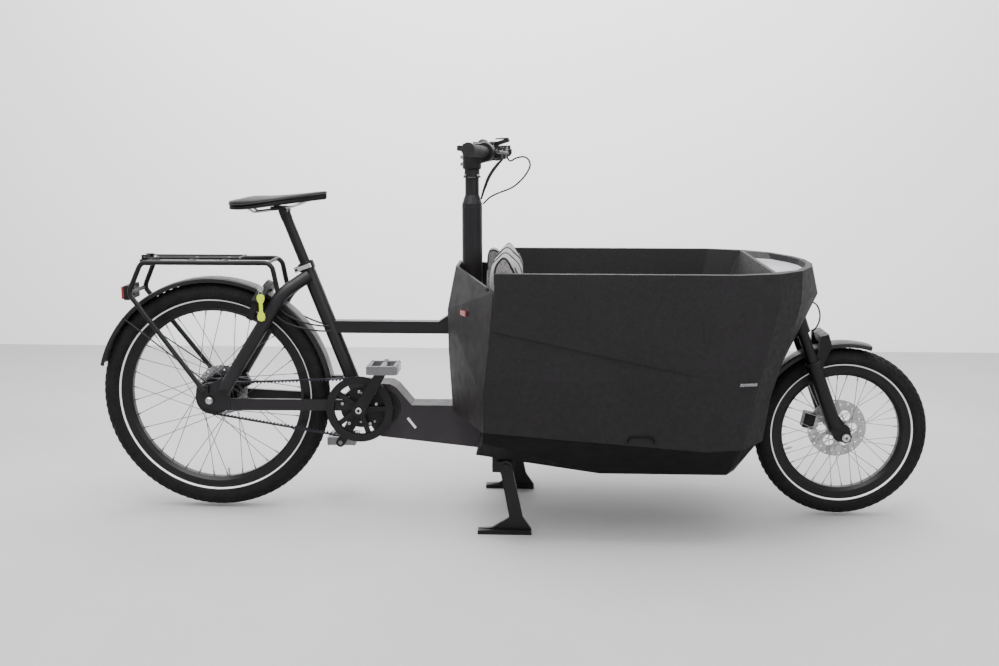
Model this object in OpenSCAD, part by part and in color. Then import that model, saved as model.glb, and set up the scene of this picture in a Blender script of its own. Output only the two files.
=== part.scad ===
// Front-loading cargo bicycle, standing on its two-leg centre stand.
// +X points forward, +Y to the rider's left, +Z up. The floor is at Z = 0.

/* [Wheels] */
// Distance between the two wheel axles
wheelbase = 1930; // [1850:5:2320]
// Outer radius of the rear tyre
rear_tyre_r = 354; // [295:1:360]
// Half width of the rear tyre
rear_tyre_half = 31; // [24:0.5:32]
// Radius of the rear bead seat
rear_bead_r = 292; // [240:1:300]
// Outer radius of the front tyre
front_tyre_r = 258; // [215:1:262]
// Half width of the front tyre
front_tyre_half = 27.5; // [22:0.5:30]
// Radius of the front bead seat
front_bead_r = 203; // [165:1:206]
// Height of both tyres above the floor while the stand is down
wheel_lift = 8; // [2:1:20]
// Number of spokes in each wheel
spoke_count = 36; // [24:4:36]
// Half width over the dropouts at the rear
rear_hub_half = 71; // [68:0.5:76]
// Half width over the fork ends
front_hub_half = 55; // [52:0.5:58]

/* [Rear frame] */
// Distance from the rear axle forward to the crank axle
chainstay = 458; // [450:1:520]
// Height of the crank axle above the floor
crank_z = 334; // [300:1:360]
// Lean of the seat tube back from vertical
seat_lean = 20.8; // [16:0.1:24]
// Outer radius of the seat tube
seat_tube_r = 22; // [20:0.5:25]
// Wall of the frame tubes
tube_wall = 2.5; // [1.5:0.1:4]
// Height of the top of the seat tube above the floor
seat_tube_top = 779; // [700:1:820]
// Outer radius of the seat stays
stay_r = 20; // [14:0.5:22]
// Height of the centre of the top tube
top_tube_z = 581; // [560:1:640]
// Height of the section of the top tube
top_tube_h = 37; // [28:1:44]

/* [Saddle] */
// Outer radius of the seat post
post_r = 15.8; // [13:0.1:17]
// Height of the saddle rails above the floor
saddle_z = 940; // [900:1:1100]
// Width of the saddle
saddle_w = 172; // [140:1:210]

/* [Box] */
// Outer width of the box at its rim
box_w = 690; // [575:1:830]
// Height of the rim above the floor
rim_z = 790; // [700:1:900]
// Thickness of the box side walls
box_wall = 20; // [14:1:30]
// Distance from the steering column forward to the rear corners
corner_dx = 83; // [70:1:100]
// Distance from the front axle back to the tip of the rim
nose_dx = 121; // [110:1:150]
// Height of the front end of the seam between box and tray
seam_front_z = 284; // [270:1:300]
// Height of the rear end of that seam
seam_rear_z = 334; // [320:1:350]
// Clearance between the box and the frame inside it
box_gap = 1; // [0.5:0.1:3]

/* [Steering] */
// Distance from the rear axle forward to the steering column
column_dx = 802; // [780:1:860]
// Outer radius of the fixed column
column_r = 30.5; // [26:0.5:34]
// Height of the top of the fixed column
column_top = 950; // [900:1:1000]
// Outer radius of the upper steering tube
steerer_r = 21; // [17:0.5:24]
// Height of the handlebar above the floor
bar_z = 1126; // [1090:1:1150]
// Overall width of the handlebar
bar_w = 660; // [560:1:740]
// Lean of the fork back from vertical
fork_lean = 20.8; // [18:0.1:24]
// Distance between the centres of the fork legs
leg_gap = 130; // [124:1:140]
// Distance from the steering axis forward to the fork legs
leg_offset = 25; // [15:1:35]
// Distance from the fork legs forward to the wheel axle
axle_offset = 19; // [10:1:30]
// Outer radius of the fork tubes that slide
stanchion_r = 16; // [15:0.5:18]
// Travel of the fork
fork_travel = 40; // [20:1:60]

/* [Drive] */
// Length of a crank arm between its axes
crank_len = 170; // [150:1:175]
// Angle of the right crank arm above the forward direction
crank_angle = 59; // [0:1:180]
// Pitch radius of the front belt pulley
front_pulley_r = 96; // [80:1:100]
// Pitch radius of the rear belt pulley
rear_pulley_r = 48; // [38:1:50]
// Distance of the belt line from the middle plane
belt_y = 56; // [54:0.5:60]
// Radius of the brake discs
disc_r = 90; // [70:1:92]

/* [Stand] */
// Distance from the steering column forward to the stand pivot
stand_dx = 111; // [100:1:120]
// Height of the stand pivot
stand_z = 204; // [195:1:210]
// Half distance between the two feet
stand_half = 213; // [180:1:230]

/* [Fits] */
// Radial clearance round each turning axle
run_gap = 0.05; // [0.02:0.01:0.1]
// Gap between neighbours that move past each other
side_gap = 0.5; // [0.3:0.1:1]

/* [Hidden] */
$fn = 48;

// The origin is under the middle of the whole bicycle.
fender_r = rear_tyre_r + 17;
fender_tip = 165;
tail_reach = -fender_r * cos(fender_tip);
xr = -(wheelbase + front_tyre_r - tail_reach) / 2;
xf = xr + wheelbase;
zr = rear_tyre_r + wheel_lift;
zf = front_tyre_r + wheel_lift;

bb = [xr + chainstay, 0, crank_z];
col_x = xr + column_dx;
seat_dir = [-sin(seat_lean), 0, cos(seat_lean)];
function on_seat(z) = [bb.x - (z - crank_z) * tan(seat_lean), 0, z];
// Direction up the fork, and the point of the steering axis level with the axle.
fork_dir = [-sin(fork_lean), 0, cos(fork_lean)];
fork_fwd = [cos(fork_lean), 0, sin(fork_lean)];
fork_foot = [xf, 0, zf] - (leg_offset + axle_offset) * fork_fwd;
function on_fork(d, out = 0, y = 0) = fork_foot + d * fork_dir + out * fork_fwd + [0, y, 0];
crown_d = 370;
head_low = 408;
head_high = 520;

half = box_w / 2;
corner_x = col_x + corner_dx;
side_end = xf - nose_dx - 257;
nose_x = xf - nose_dx;
tray_rear_x = col_x + 30;
tray_front_x = xf - 293;
stand_x = col_x + stand_dx;
beam_half = 42;
beam_low = 212;
beam_high = 285;

function unit(v) = v / norm(v);

// A round bar from p to q.
module bar(p, q, r, fn = 32) {
    d = q - p;
    translate(p)
        rotate([0, acos(d.z / norm(d)), atan2(d.y, d.x)])
            cylinder(h = norm(d), r = r, $fn = fn);
}

// A tube from p to q, open at both ends.
module pipe(p, q, r, wall, fn = 48) {
    u = unit(q - p);
    difference() {
        bar(p, q, r, fn);
        bar(p - u, q + u, r - wall, fn);
    }
}

// A round bar along Y through (x, z).
module rod_y(x, z, r, y0, y1, fn = 48) {
    translate([x, y1, z])
        rotate([90, 0, 0])
            cylinder(h = y1 - y0, r = r, $fn = fn);
}

// A side outline, given in X and Z, made solid from y0 to y1.
module slab(y0, y1) {
    translate([0, y1, 0])
        rotate([90, 0, 0])
            linear_extrude(y1 - y0)
                children();
}

// A box between two corners.
module block(a, b) {
    translate(a)
        cube(b - a);
}

module both_sides() {
    children();
    mirror([0, 1, 0])
        children();
}

// Points along p with each corner turned on an arc of radius turn.
function arc_at(a, p, b, turn, n) =
    let (u = unit(a - p), v = unit(b - p), half_angle = acos(u * v) / 2,
        c = p + unit(u + v) * turn / sin(half_angle),
        from = p + u * turn / tan(half_angle) - c, to = p + v * turn / tan(half_angle) - c,
        sweep = 180 - 2 * half_angle)
        [for (i = [0:n]) c + (sin(sweep * (1 - i / n)) * from + sin(sweep * i / n) * to) / sin(sweep)];
function rounded(p, turn, n = 6) = concat([p[0]],
    [for (i = [1:1:len(p) - 2], q = arc_at(p[i - 1], p[i], p[i + 1], turn, n)) q], [p[len(p) - 1]]);

// Points of a smooth curve through p, with n steps for each stretch.
function at(p, i) = p[max(0, min(len(p) - 1, i))];
function curve(p, n) = [
    for (i = [0:len(p) - 2], s = [0:n - 1])
        let (t = s / n, a = at(p, i - 1), b = p[i], c = p[i + 1], d = at(p, i + 2))
            0.5 * (2 * b + (c - a) * t + (2 * a - 5 * b + 4 * c - d) * t * t
                + (3 * b - a - 3 * c + d) * t * t * t),
    p[len(p) - 1]
];

// A round section of radius r carried along the points q. The path never runs along up.
module sweep(q, r, sides = 16, up = [0, 1, 0]) {
    count = len(q);
    t = [for (i = [0:count - 1]) unit(at(q, i + 1) - at(q, i - 1))];
    side = [for (v = t) unit(cross(v, up))];
    ring = [for (i = [0:count - 1], k = [0:sides - 1])
        q[i] + r * (cos(360 * k / sides) * side[i] + sin(360 * k / sides) * cross(t[i], side[i]))];
    polyhedron(ring, concat(
        [[for (k = [0:sides - 1]) k]],
        [[for (k = [sides - 1:-1:0]) (count - 1) * sides + k]],
        [for (i = [0:count - 2], k = [0:sides - 1]) let (j = (k + 1) % sides)
            [i * sides + k, (i + 1) * sides + k, (i + 1) * sides + j, i * sides + j]]
    ), convexity = 4);
}

// A bar along the points p that turns each corner with the same radius.
module bent_bar(p, r, turn, sides = 16, up = [0, 1, 0]) {
    sweep(rounded(p, turn), r, sides, up);
}

// A thin hose along a smooth curve through p.
module hose(p, r, n = 5) {
    sweep(curve(p, n), r, 8);
}

// Puts what follows in the fork's own frame: Z up the steering axis, X forward.
module in_fork() {
    translate(fork_foot)
        rotate([0, -fork_lean, 0])
            children();
}

// ---- Wheels ----

module tyre(r, half_w, bead) {
    difference() {
        rotate_extrude()
            translate([r - half_w, 0])
                circle(half_w);
        rotate_extrude()
            translate([r - half_w, 0])
                circle(half_w - 5);
        cylinder(h = 3 * half_w, r = bead + 6, center = true, $fn = 96);
    }
}

module rim(bead, half_w) {
    edge = bead + 5.8;
    low = bead - 26;
    difference() {
        rotate_extrude($fn = 96)
            polygon([[low, -9], [low, 9], [low + 10, half_w], [edge, half_w], [edge, half_w - 2.2],
                [bead, half_w - 4], [bead - 5, 6], [bead - 5, -6], [bead, 4 - half_w],
                [edge, 2.2 - half_w], [edge, -half_w], [low + 10, -half_w]]);
        rotate_extrude($fn = 96)
            polygon([[low + 3, -7], [low + 3, 7], [low + 10, half_w - 4], [bead - 8, 6], [bead - 8, -6],
                [low + 10, 4 - half_w]]);
    }
}

// Crossed spokes from flanges of radius flange_r at +-flange_y to a rim of radius rim_r.
module spokes(flange_r, flange_y, rim_r) {
    step = 360 / spoke_count;
    for (i = [0:spoke_count - 1]) {
        side = i % 2 == 0 ? 1 : -1;
        lead = floor(i / 2) % 2 == 0 ? 1 : -1;
        a = (i + 0.5) * step;
        b = a + lead * 62;
        y = side * (flange_y + lead * 1.6);
        foot = [flange_r * cos(b), y, flange_r * sin(b)];
        head = [rim_r * cos(a), side * 3, rim_r * sin(a)];
        bar(foot, head, 1.1, 16);
        bar(head - 12 * unit(head - foot), head, 2, 16);
    }
}

module hub(shell_r, flange_r, flange_y, end_y, bore) {
    difference() {
        union() {
            rod_y(0, 0, shell_r, -flange_y, flange_y);
            for (s = [-1, 1])
                rod_y(0, 0, flange_r, s * flange_y - 2, s * flange_y + 2);
            rod_y(0, 0, bore + 5, -end_y, end_y);
        }
        rod_y(0, 0, bore, -end_y - 1, end_y + 1);
    }
}

// A brake disc at y with arms down to its hub and rows of holes.
module disc(r, y) {
    difference() {
        rod_y(0, 0, r, y - 1, y + 1, 96);
        rod_y(0, 0, 11.1, y - 2, y + 2);
        for (i = [0:5])
            rotate([0, i * 60, 0])
                translate([r * 0.5, y, 0])
                    rotate([90, 0, 0])
                        cylinder(h = 6, r = r * 0.19, center = true, $fn = 32);
        for (i = [0:23])
            rotate([0, i * 15 + 7, 0])
                translate([r * (i % 2 == 0 ? 0.82 : 0.92), y, 0])
                    rotate([90, 0, 0])
                        cylinder(h = 6, r = 2.6, center = true, $fn = 16);
    }
}

front_axle_r = 6;
rear_axle_r = 6;
front_disc_y = 38;
rear_disc_y = 59;
rear_flange = 56;
front_flange = 28;

module at_front_axle() {
    translate([xf, 0, zf])
        children();
}

module at_rear_axle() {
    translate([xr, 0, zr])
        children();
}

module front_tyre() {
    color("#1b1b1c")
        at_front_axle() rotate([90, 0, 0]) tyre(front_tyre_r, front_tyre_half, front_bead_r);
}

module rear_tyre() {
    color("#1b1b1c")
        at_rear_axle() rotate([90, 0, 0]) tyre(rear_tyre_r, rear_tyre_half, rear_bead_r);
}

module front_rim() {
    color("#151516")
        at_front_axle() rotate([90, 0, 0]) rim(front_bead_r, front_tyre_half - 10);
}

module rear_rim() {
    color("#151516")
        at_rear_axle() rotate([90, 0, 0]) rim(rear_bead_r, rear_tyre_half - 12);
}

module front_spokes() {
    color("#2a2a2b")
        at_front_axle() spokes(front_flange + 1.1 + side_gap, 24, front_bead_r - 27);
}

module rear_spokes() {
    color("#2a2a2b")
        at_rear_axle() spokes(rear_flange + 1.1 + side_gap, 28, rear_bead_r - 27);
}

module front_hub() {
    color("#202021")
        at_front_axle() hub(18, front_flange, 24, front_disc_y + 4, front_axle_r + run_gap);
}

module rear_hub() {
    color("#202021")
        at_rear_axle() hub(48, rear_flange, 28, 47, rear_axle_r + run_gap);
}

module front_disc() {
    color("silver")
        at_front_axle() disc(disc_r, front_disc_y);
}

module rear_disc() {
    color("silver")
        at_rear_axle()
            difference() {
                union() {
                    disc(disc_r - 10, rear_disc_y);
                    rod_y(0, 0, 14, 47, rear_disc_y + 1);
                }
                rod_y(0, 0, rear_axle_r + run_gap, 40, 70);
            }
}

module rear_axle() {
    color("#2c2c2e")
        at_rear_axle() {
            rod_y(0, 0, rear_axle_r, -84, 84);
            rod_y(0, 0, 11, -90, -84);
            rod_y(0, 0, 11, 84, 90);
        }
}

module front_axle() {
    color("silver")
        at_front_axle() {
            rod_y(0, 0, front_axle_r, -78, 78);
            rod_y(0, 0, 12, -83, -78);
            rod_y(0, 0, 12, 78, 83);
        }
}

// ---- Frame ----

// The motor, seen from the side.
module motor_outline(grow = 0) {
    offset(delta = grow)
        hull() {
            translate([bb.x, bb.z])
                circle(62, $fn = 48);
            translate([bb.x + 72, bb.z + 2])
                circle(52, $fn = 48);
        }
}

module motor_unit() {
    color("#29292b")
        difference() {
            union() {
                slab(-44, 44)
                    motor_outline();
                rod_y(bb.x, bb.z, 27, -49, 49);
                rod_y(bb.x + 74, bb.z + 2, 40, -47, 47);
            }
            rod_y(bb.x, bb.z, 12 + run_gap, -60, 60);
            for (i = [0:5])
                block([bb.x + 48 + i * 10, -48, bb.z - 46], [bb.x + 52 + i * 10, -45, bb.z + 46]);
        }
}

module main_beam() {
    front = xf - 346;
    color("#47413f")
        difference() {
            slab(-beam_half, beam_half)
                polygon([[bb.x - 44, 412], [bb.x + 92, 409], [bb.x + 112, 398], [bb.x + 158, 343],
                    [col_x + 34, 343], [col_x + 44, beam_high], [front, beam_high],
                    [front + 8, beam_low + 24], [front - 20, beam_low], [col_x + 12, beam_low],
                    [bb.x + 61, 243], [bb.x + 40, 262]]);
            slab(-beam_half - 1, beam_half + 1)
                motor_outline(0.4);
            block([bb.x + 170, -beam_half + 3, beam_low + 30], [col_x + 20, beam_half - 3, 339]);
            block([col_x + 36, -beam_half + 3, beam_low + 30], [front - 12, beam_half - 3, beam_high - 4]);
            rod_y(stand_x, stand_z, 17.5, -60, 60);
            pipe_cut_mast();
        }
}

module seat_tube() {
    foot = on_seat(408);
    top = on_seat(seat_tube_top);
    color("#242326")
        difference() {
            pipe(foot - 20 * seat_dir, top, seat_tube_r, seat_tube_r - post_r - run_gap);
            slab(-40, 40)
                polygon([[bb.x - 90, 380], [bb.x + 90, 380], [bb.x + 92, 409], [bb.x - 44, 412]]);
            block([bb.x - 120, -40, 380], [bb.x + 20, 40, 409.5]);
        }
}

module top_tube() {
    color("#242326")
        difference() {
            slab(-17, 17)
                polygon([[bb.x - 120, top_tube_z - top_tube_h / 2], [col_x - 62, top_tube_z - top_tube_h / 2],
                    [col_x, top_tube_z - top_tube_h / 2 - 8], [col_x, top_tube_z + 54],
                    [col_x - 62, top_tube_z + 46], [col_x - 104, top_tube_z + top_tube_h / 2],
                    [bb.x - 120, top_tube_z + top_tube_h / 2]]);
            slab(-14.5, 14.5)
                polygon([[bb.x - 120, top_tube_z - top_tube_h / 2 + 2.5],
                    [col_x - 90, top_tube_z - top_tube_h / 2 + 2.5],
                    [col_x - 90, top_tube_z + top_tube_h / 2 - 2.5],
                    [bb.x - 120, top_tube_z + top_tube_h / 2 - 2.5]]);
            bar(on_seat(380), on_seat(800), seat_tube_r + 0.05, 48);
            bar([col_x, 0, 300], [col_x, 0, 900], column_r + 0.05, 48);
            block([bb.x - 200, -30, 500], on_seat(top_tube_z + 40) + [0, 30, 0]);
            slab(-30, 30)
                polygon([[bb.x - 200, 500], [on_seat(500).x, 500], [on_seat(680).x, 680], [bb.x - 200, 680]]);
        }
}

stay_top = on_seat(740);
stay_knee = [xr + 229, -58, 690];
stay_foot = [xr + 30, -85, zr + 8];

module stay_bars(r) {
    both_sides()
        bent_bar([stay_top + [0, -20, 0], stay_knee, stay_foot], r, 110, 24);
}

module seat_stays() {
    color("#242326")
        difference() {
            stay_bars(stay_r);
            bar(on_seat(600), on_seat(seat_tube_top - 20), seat_tube_r + 0.05, 48);
            bar(on_seat(seat_tube_top - 26), on_seat(900), seat_tube_r + 3.8, 48);
            block([xr - 60, -110, zr - 60], [xr + 60, 110, zr + 37]);
            both_sides()
                slab(-79.1, -rear_hub_half + 0.1)
                    dropout_outline();
        }
}

module dropout_outline() {
    polygon([[xr - 26, zr - 24], [xr + 24, zr - 34], [xr + 62, zr - 30], [xr + 62, zr + 34],
        [xr + 42, zr + 70], [xr + 6, zr + 52], [xr - 40, zr + 44], [xr - 44, zr + 14]]);
}

// Dropout plates and the two chain stays that run forward to the motor.
module chain_stays() {
    color("#5a5451")
        difference() {
            both_sides() {
                slab(-79, -rear_hub_half)
                    dropout_outline();
                hull() {
                    translate([xr + 40, -79, zr - 32])
                        cube([4, 13, 36]);
                    translate([bb.x - 76, -46, bb.z - 10])
                        cube([4, 12, 34]);
                }
                slab(-46, -34)
                    polygon([[bb.x - 76, bb.z - 10], [bb.x - 52, bb.z - 10], [bb.x - 52, bb.z + 24],
                        [bb.x - 76, bb.z + 24]]);
                block([bb.x - 54, -46, bb.z - 8], [bb.x - 29, -44.3, bb.z + 22]);
            }
            for (s = [-1, 1])
                rod_y(xr, zr, rear_axle_r + 0.05, s * 76 - 10, s * 76 + 10);
            rod_y(bb.x, bb.z, 62.3, -44.2, 44.2);
            rod_y(bb.x, bb.z, 27.3, -60, 60);
        }
}

module column_tube() {
    color("#2b2a2d")
        difference() {
            union() {
                pipe([col_x, 0, 343], [col_x, 0, column_top], column_r, 3);
                bar([col_x, 0, 343], [col_x, 0, 373], column_r);
                bar([col_x, 0, column_top - 30], [col_x, 0, column_top], column_r);
            }
            bar([col_x, 0, 330], [col_x, 0, column_top + 5], steerer_r + run_gap, 48);
            for (y = [-13, 13])
                bar([col_x, y, 405], [col_x + 60, y, 405], 4);
        }
}

mast_r = 19.5;
mast_foot = [xf - 375, 0, 256];
mast_top = on_fork(500, -14);

module pipe_cut_mast() {
    bar(mast_foot - 4 * unit(mast_top - mast_foot), mast_top, mast_r + 0.05, 48);
}

module fork_mast() {
    color("#242326")
        difference() {
            union() {
                pipe(mast_foot, mast_top, mast_r, 3);
                bar(on_fork(head_low), on_fork(head_high), 29);
            }
            bar(on_fork(head_low - 5), on_fork(head_high + 5), 15 + run_gap, 48);
            block([mast_foot.x - 60, -40, 200], [mast_foot.x + 60, 40, beam_low + 30]);
        }
}

// Cross member under the floor with a bearing plate on each side for the stand.
module stand_mount() {
    color("#1c1c1d")
        difference() {
            union() {
                for (s = [-1, 1])
                    block([stand_x - 22, s > 0 ? beam_half : -stand_half + 6, 246],
                        [stand_x + 22, s > 0 ? stand_half - 6 : -beam_half, 268]);
                both_sides()
                    slab(-stand_half + 6, -stand_half + 14)
                        polygon([[stand_x - 41, 264], [stand_x - 41, stand_z - 20], [stand_x + 24, stand_z - 22],
                            [stand_x + 30, 264]]);
            }
            rod_y(stand_x, stand_z, 16 + run_gap, -300, 300);
        }
}

// ---- Box ----

// Half outline of the box at one height, from the rear corner to the nose.
function plan(rear, y, side, bow) = concat(
    [[rear, -y], [side, -y]], bow, [for (i = [len(bow) - 1:-1:0]) [bow[i].x, -bow[i].y]],
    [[side, y], [rear, y]]
);

module slice(z, rear, y, side, bow) {
    translate([0, 0, z])
        linear_extrude(0.01)
            polygon(plan(rear, y, side, bow));
}

// One slice of the outer shape at each level, from the seam up to the rim.
module skin_low() {
    slice(276, corner_x - 32, half - 27, xf - 455, [[xf - 345, 45 - half], [xf - 283, -240], [xf - 270, -150]]);
}
module skin_1() {
    slice(430, corner_x - 32, half - 8, xf - 430, [[xf - 320, 35 - half], [xf - 262, -245], [xf - 244, -150]]);
}
module skin_2() {
    slice(530, corner_x - 22, half, xf - 410, [[xf - 295, 32 - half], [xf - 232, -240], [xf - 214, -150]]);
}
module skin_3() {
    slice(660, corner_x - 6, half, xf - 392, [[xf - 268, 34 - half], [xf - 196, -238], [xf - 165, -150],
        [xf - 130, -60]]);
}
module skin_4() {
    slice(700, corner_x - 2, half, xf - 385, [[xf - 262, 32 - half], [xf - 186, -235], [xf - 142, -150],
        [xf - 99, -50]]);
}
module skin_top() {
    slice(rim_z - 0.01, corner_x + 2, half, side_end, [[nose_x - 142, 36 - half], [nose_x - 66, -235],
        [nose_x - 20, -140], [nose_x, -55]]);
}

// The side outline below the seam, where the tray takes over.
module under_seam(raise = 0) {
    slab(-half - 50, half + 50)
        polygon([[corner_x - 300, 100], [corner_x - 300, seam_rear_z + raise + 4],
            [corner_x - 30, seam_rear_z + raise], [xf - 446, seam_front_z + raise],
            [xf - 350, seam_front_z + raise + 3], [xf - 200, seam_front_z + raise + 26], [xf - 200, 100]]);
}

// The room that the front wheel and the fork crown need when they turn.
module wheel_well() {
    rod_y(xf - 9, zf + 22, front_tyre_r + 50, -132, 132, 96);
    in_fork()
        intersection() {
            translate([0, 0, 250])
                cylinder(h = head_low - 8 - 250, r = 100);
            block([-62, -120, 200], [140, 120, 500]);
        }
}

module box_skin() {
    hull() { skin_low(); skin_1(); }
    hull() { skin_1(); skin_2(); }
    hull() { skin_2(); skin_3(); skin_4(); }
    hull() { skin_4(); skin_top(); }
}

// The hollow in the nose round the head tube.
module nose_hollow() {
    hull() {
        slice(678, xf - 262, 100, xf - 240, [[xf - 150, -60]]);
        slice(rim_z + 1, xf - 266, half - 80, xf - 264, [[nose_x - 80, -220], [nose_x - 36, -125],
            [nose_x - 18, -50]]);
    }
}

module box_shell() {
    color("#1e1e20")
        difference() {
            box_skin();
            under_seam(box_gap);
            // Below the crease the side stands 3 mm further in.
            for (s = [-1, 1])
                slab(s > 0 ? half - 3 : -half - 5, s > 0 ? half + 5 : -half + 3)
                    polygon([[corner_x - 60, 642], [xf - 310, 470], [xf - 310, 200], [corner_x - 60, 200]]);
            // The load space, open at the top and towards the rear cover.
            hull() {
                slice(352, corner_x - 60, half - 47, xf - 445, [[xf - 392, 95 - half]]);
                slice(rim_z + 1, corner_x - 60, half - box_wall, side_end, [[xf - 277, 60 - half]]);
            }
            nose_hollow();
            wheel_well();
            bar(mast_foot, mast_top, mast_r + 9, 48);
            in_fork()
                cylinder(h = head_high + 20, r = 29 + box_gap);
            block([corner_x - 60, -beam_half - box_gap, 200], [xf - 335, beam_half + box_gap, beam_high + 27]);
            front_reflectors(0.6);
            block([corner_x - 60, -80, 200], [corner_x + 8, 80, 500]);
            // Way out of the nose for the brake hose.
            bar([xf - 190, 0, zf + 402], [xf - 100, 0, zf + 404], 4.5);
        }
}

module box_tray() {
    color("#111112")
        difference() {
            hull() {
                slice(seam_rear_z + 1, corner_x - 34, half - 24, xf - 470, [[xf - 400, 30 - half]]);
                slice(seam_front_z + 20, corner_x - 34, half - 25, xf - 445, [[xf - 340, 47 - half],
                    [xf - 284, -238], [xf - 272, -150]]);
                slice(250, corner_x - 58, half - 92, corner_x + 60, []);
                slice(198, corner_x + 300, half - 95, xf - 380, [[xf - 350, -200]]);
            }
            hull() {
                slice(seam_rear_z + 2, corner_x - 30, half - 28, xf - 474, [[xf - 404, 34 - half]]);
                slice(seam_front_z + 21, corner_x - 30, half - 29, xf - 449, [[xf - 344, 51 - half],
                    [xf - 288, -234], [xf - 276, -146]]);
                slice(254, corner_x - 54, half - 96, corner_x + 60, []);
                slice(202, corner_x + 300, half - 99, xf - 384, [[xf - 354, -196]]);
            }
            slab(-half - 60, half + 60)
                polygon([[corner_x - 300, seam_rear_z + 4], [corner_x - 30, seam_rear_z], [xf - 446, seam_front_z],
                    [xf - 350, seam_front_z + 3], [xf - 200, seam_front_z + 26], [xf - 200, 500],
                    [corner_x - 300, 500]]);
            wheel_well();
            block([corner_x - 100, -beam_half - box_gap, 150], [stand_x + 230, beam_half + box_gap, 400]);
            both_sides()
                block([stand_x - 42, -stand_half + 5, 150], [stand_x + 31, -stand_half + 15, 268]);
            block([stand_x - 23, -stand_half + 5, 245], [stand_x + 23, stand_half - 5, 269]);
        }
}

// The faceted cover round the steering column, open at the top.
module cover_shape(inset = 0) {
    hull()
        for (p = [[col_x - 44, 70, rim_z - 12], [col_x - 69, 78, 649], [col_x - 67, 78, 524],
            [col_x - 54, 70, 300], [corner_x - 2, half, rim_z - 52], [corner_x - 8, half, 635],
            [corner_x - 32, half - 8, 430], [corner_x - 32, half - 26, 300]], s = [-1, 1])
            translate([p.x + inset, s * (p.y - inset - 0.5), p.z])
                cube([1, 1, 1], center = true);
}

module rear_cover() {
    color("#333135")
        difference() {
            cover_shape();
            hull()
                for (z = [-1, 2])
                    translate([0, 0, z])
                        cover_shape(9);
            slab(-half - 50, half + 50)
                polygon([[corner_x - 300, 100], [corner_x - 300, seam_rear_z + 5], [corner_x - 30, seam_rear_z + 1],
                    [corner_x, seam_rear_z - 3], [corner_x, 100]]);
            // The box's rear face, a hair's breadth in front of the cover.
            slab(-half - 40, half + 40)
                polygon([[corner_x - 32.3, 100], [corner_x - 32.3, 430], [corner_x - 22.3, 530],
                    [corner_x - 2.3, 700], [corner_x - 2.3, 900], [corner_x + 100, 900], [corner_x + 100, 100]]);
            block([col_x - 100, -beam_half - box_gap, 100], [corner_x, beam_half + box_gap, 345]);
            block([col_x - 120, -17 - box_gap, top_tube_z - top_tube_h / 2 - 10],
                [col_x, 17 + box_gap, top_tube_z + 56]);
        }
}

module front_reflectors(gap = 0) {
    both_sides()
        translate([xf - 340, -half + 21.5, 482])
            rotate([0, 0, 14.6])
                cube([50 + gap, 5 + gap, 8 + gap], center = true);
}

// A side reflector let into the cover, and one on each front corner of the box.
module box_reflectors() {
    color("#7d1b1e")
        both_sides()
            translate([col_x - 14.2, -187, 655])
                rotate([0, 0, 27])
                    cube([4, 38, 15], center = true);
    color("#77787a")
        front_reflectors();
}

// The flat lid over the hollow nose.
module front_ledge() {
    color("#8f8f92")
        difference() {
            intersection() {
                nose_hollow();
                block([xf - 300, -half, rim_z - 22], [xf, half, rim_z - 18]);
            }
            in_fork()
                translate([0, 0, 480])
                    cylinder(h = 60, r = 30);
        }
}

bench_top = 500;
pad_gap = 0.4;

// The seat box, and the board behind it that carries the backrest.
module bench() {
    color("#2d2d2f") {
        block([corner_x - 12, -288, 358], [corner_x + 3.9, 205, 558]);
        difference() {
            block([corner_x + 4, 60 - half, 356], [corner_x + 290, half - 60, bench_top]);
            block([corner_x + 16, 72 - half, 340], [corner_x + 278, half - 72, bench_top - 12]);
        }
    }
}

// Three backrest pads side by side, a lower fourth one, and two seat cushions.
module seat_pads() {
    pad_w = 141;
    color("#8b8a8b") {
        for (i = [0:2])
            slab(-288 + i * (pad_w + pad_gap), -288 + i * (pad_w + pad_gap) + pad_w)
                polygon([[corner_x - 12, 558.3], [corner_x + 62, 558.3], [corner_x + 62, 770],
                    [corner_x + 51, 800], [corner_x + 40, 824], [corner_x + 28, 837], [corner_x + 16, 836],
                    [corner_x + 4, 822], [corner_x - 8, 800]]);
        slab(-288 + 3 * (pad_w + pad_gap), 205)
            polygon([[corner_x - 50, 558.3], [corner_x - 2, 558.3], [corner_x + 2, 770], [corner_x - 12, 800],
                [corner_x - 26, 812], [corner_x - 44, 808], [corner_x - 53, 790]]);
        for (y = [-283, 3])
            block([corner_x + 24, y, bench_top], [corner_x + 286, y + 280, bench_top + 42]);
    }
}

// ---- Rack, lamp and fenders ----

rack_y = 66;
rack_z = 783;
clip_z = rack_z + 11;

module rack() {
    color("#1a1a1b")
        difference() {
            rack_frame();
            stay_bars(stay_r + 0.05);
        }
}

module rack_frame() {
    difference() {
        both_sides()
            bent_bar([[xr + 222, -rack_y + 2, 672], [xr + 202, -rack_y, rack_z], [xr - 196, -rack_y, rack_z],
                [xr - 238, -rack_y - 4, 689], [xr - 16, -88, zr + 30]], 7.5, 26);
        both_sides()
            block([xr - 60, -79.1, zr - 60], [xr + 60, 0, zr + 60]);
    }
    for (x = [190, 40, -60, -186])
        rod_y(xr + x, rack_z, 5, -rack_y + 5, rack_y - 5);
    difference() {
        union() {
            block([xr - 214, -26, rack_z - 14], [xr - 180, 26, rack_z + 4]);
            both_sides()
                block([xr - 208, -26, rack_z], [xr - 186, -18, clip_z + 7]);
        }
        rod_y(xr - 197, clip_z, 3 + run_gap, -60, 60);
    }
    both_sides()
        block([xr - 30, -92, zr + 22], [xr - 2, -79.1, zr + 46]);
    rod_y(xr - 238, 689, 6, -rack_y, rack_y);
}

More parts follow.
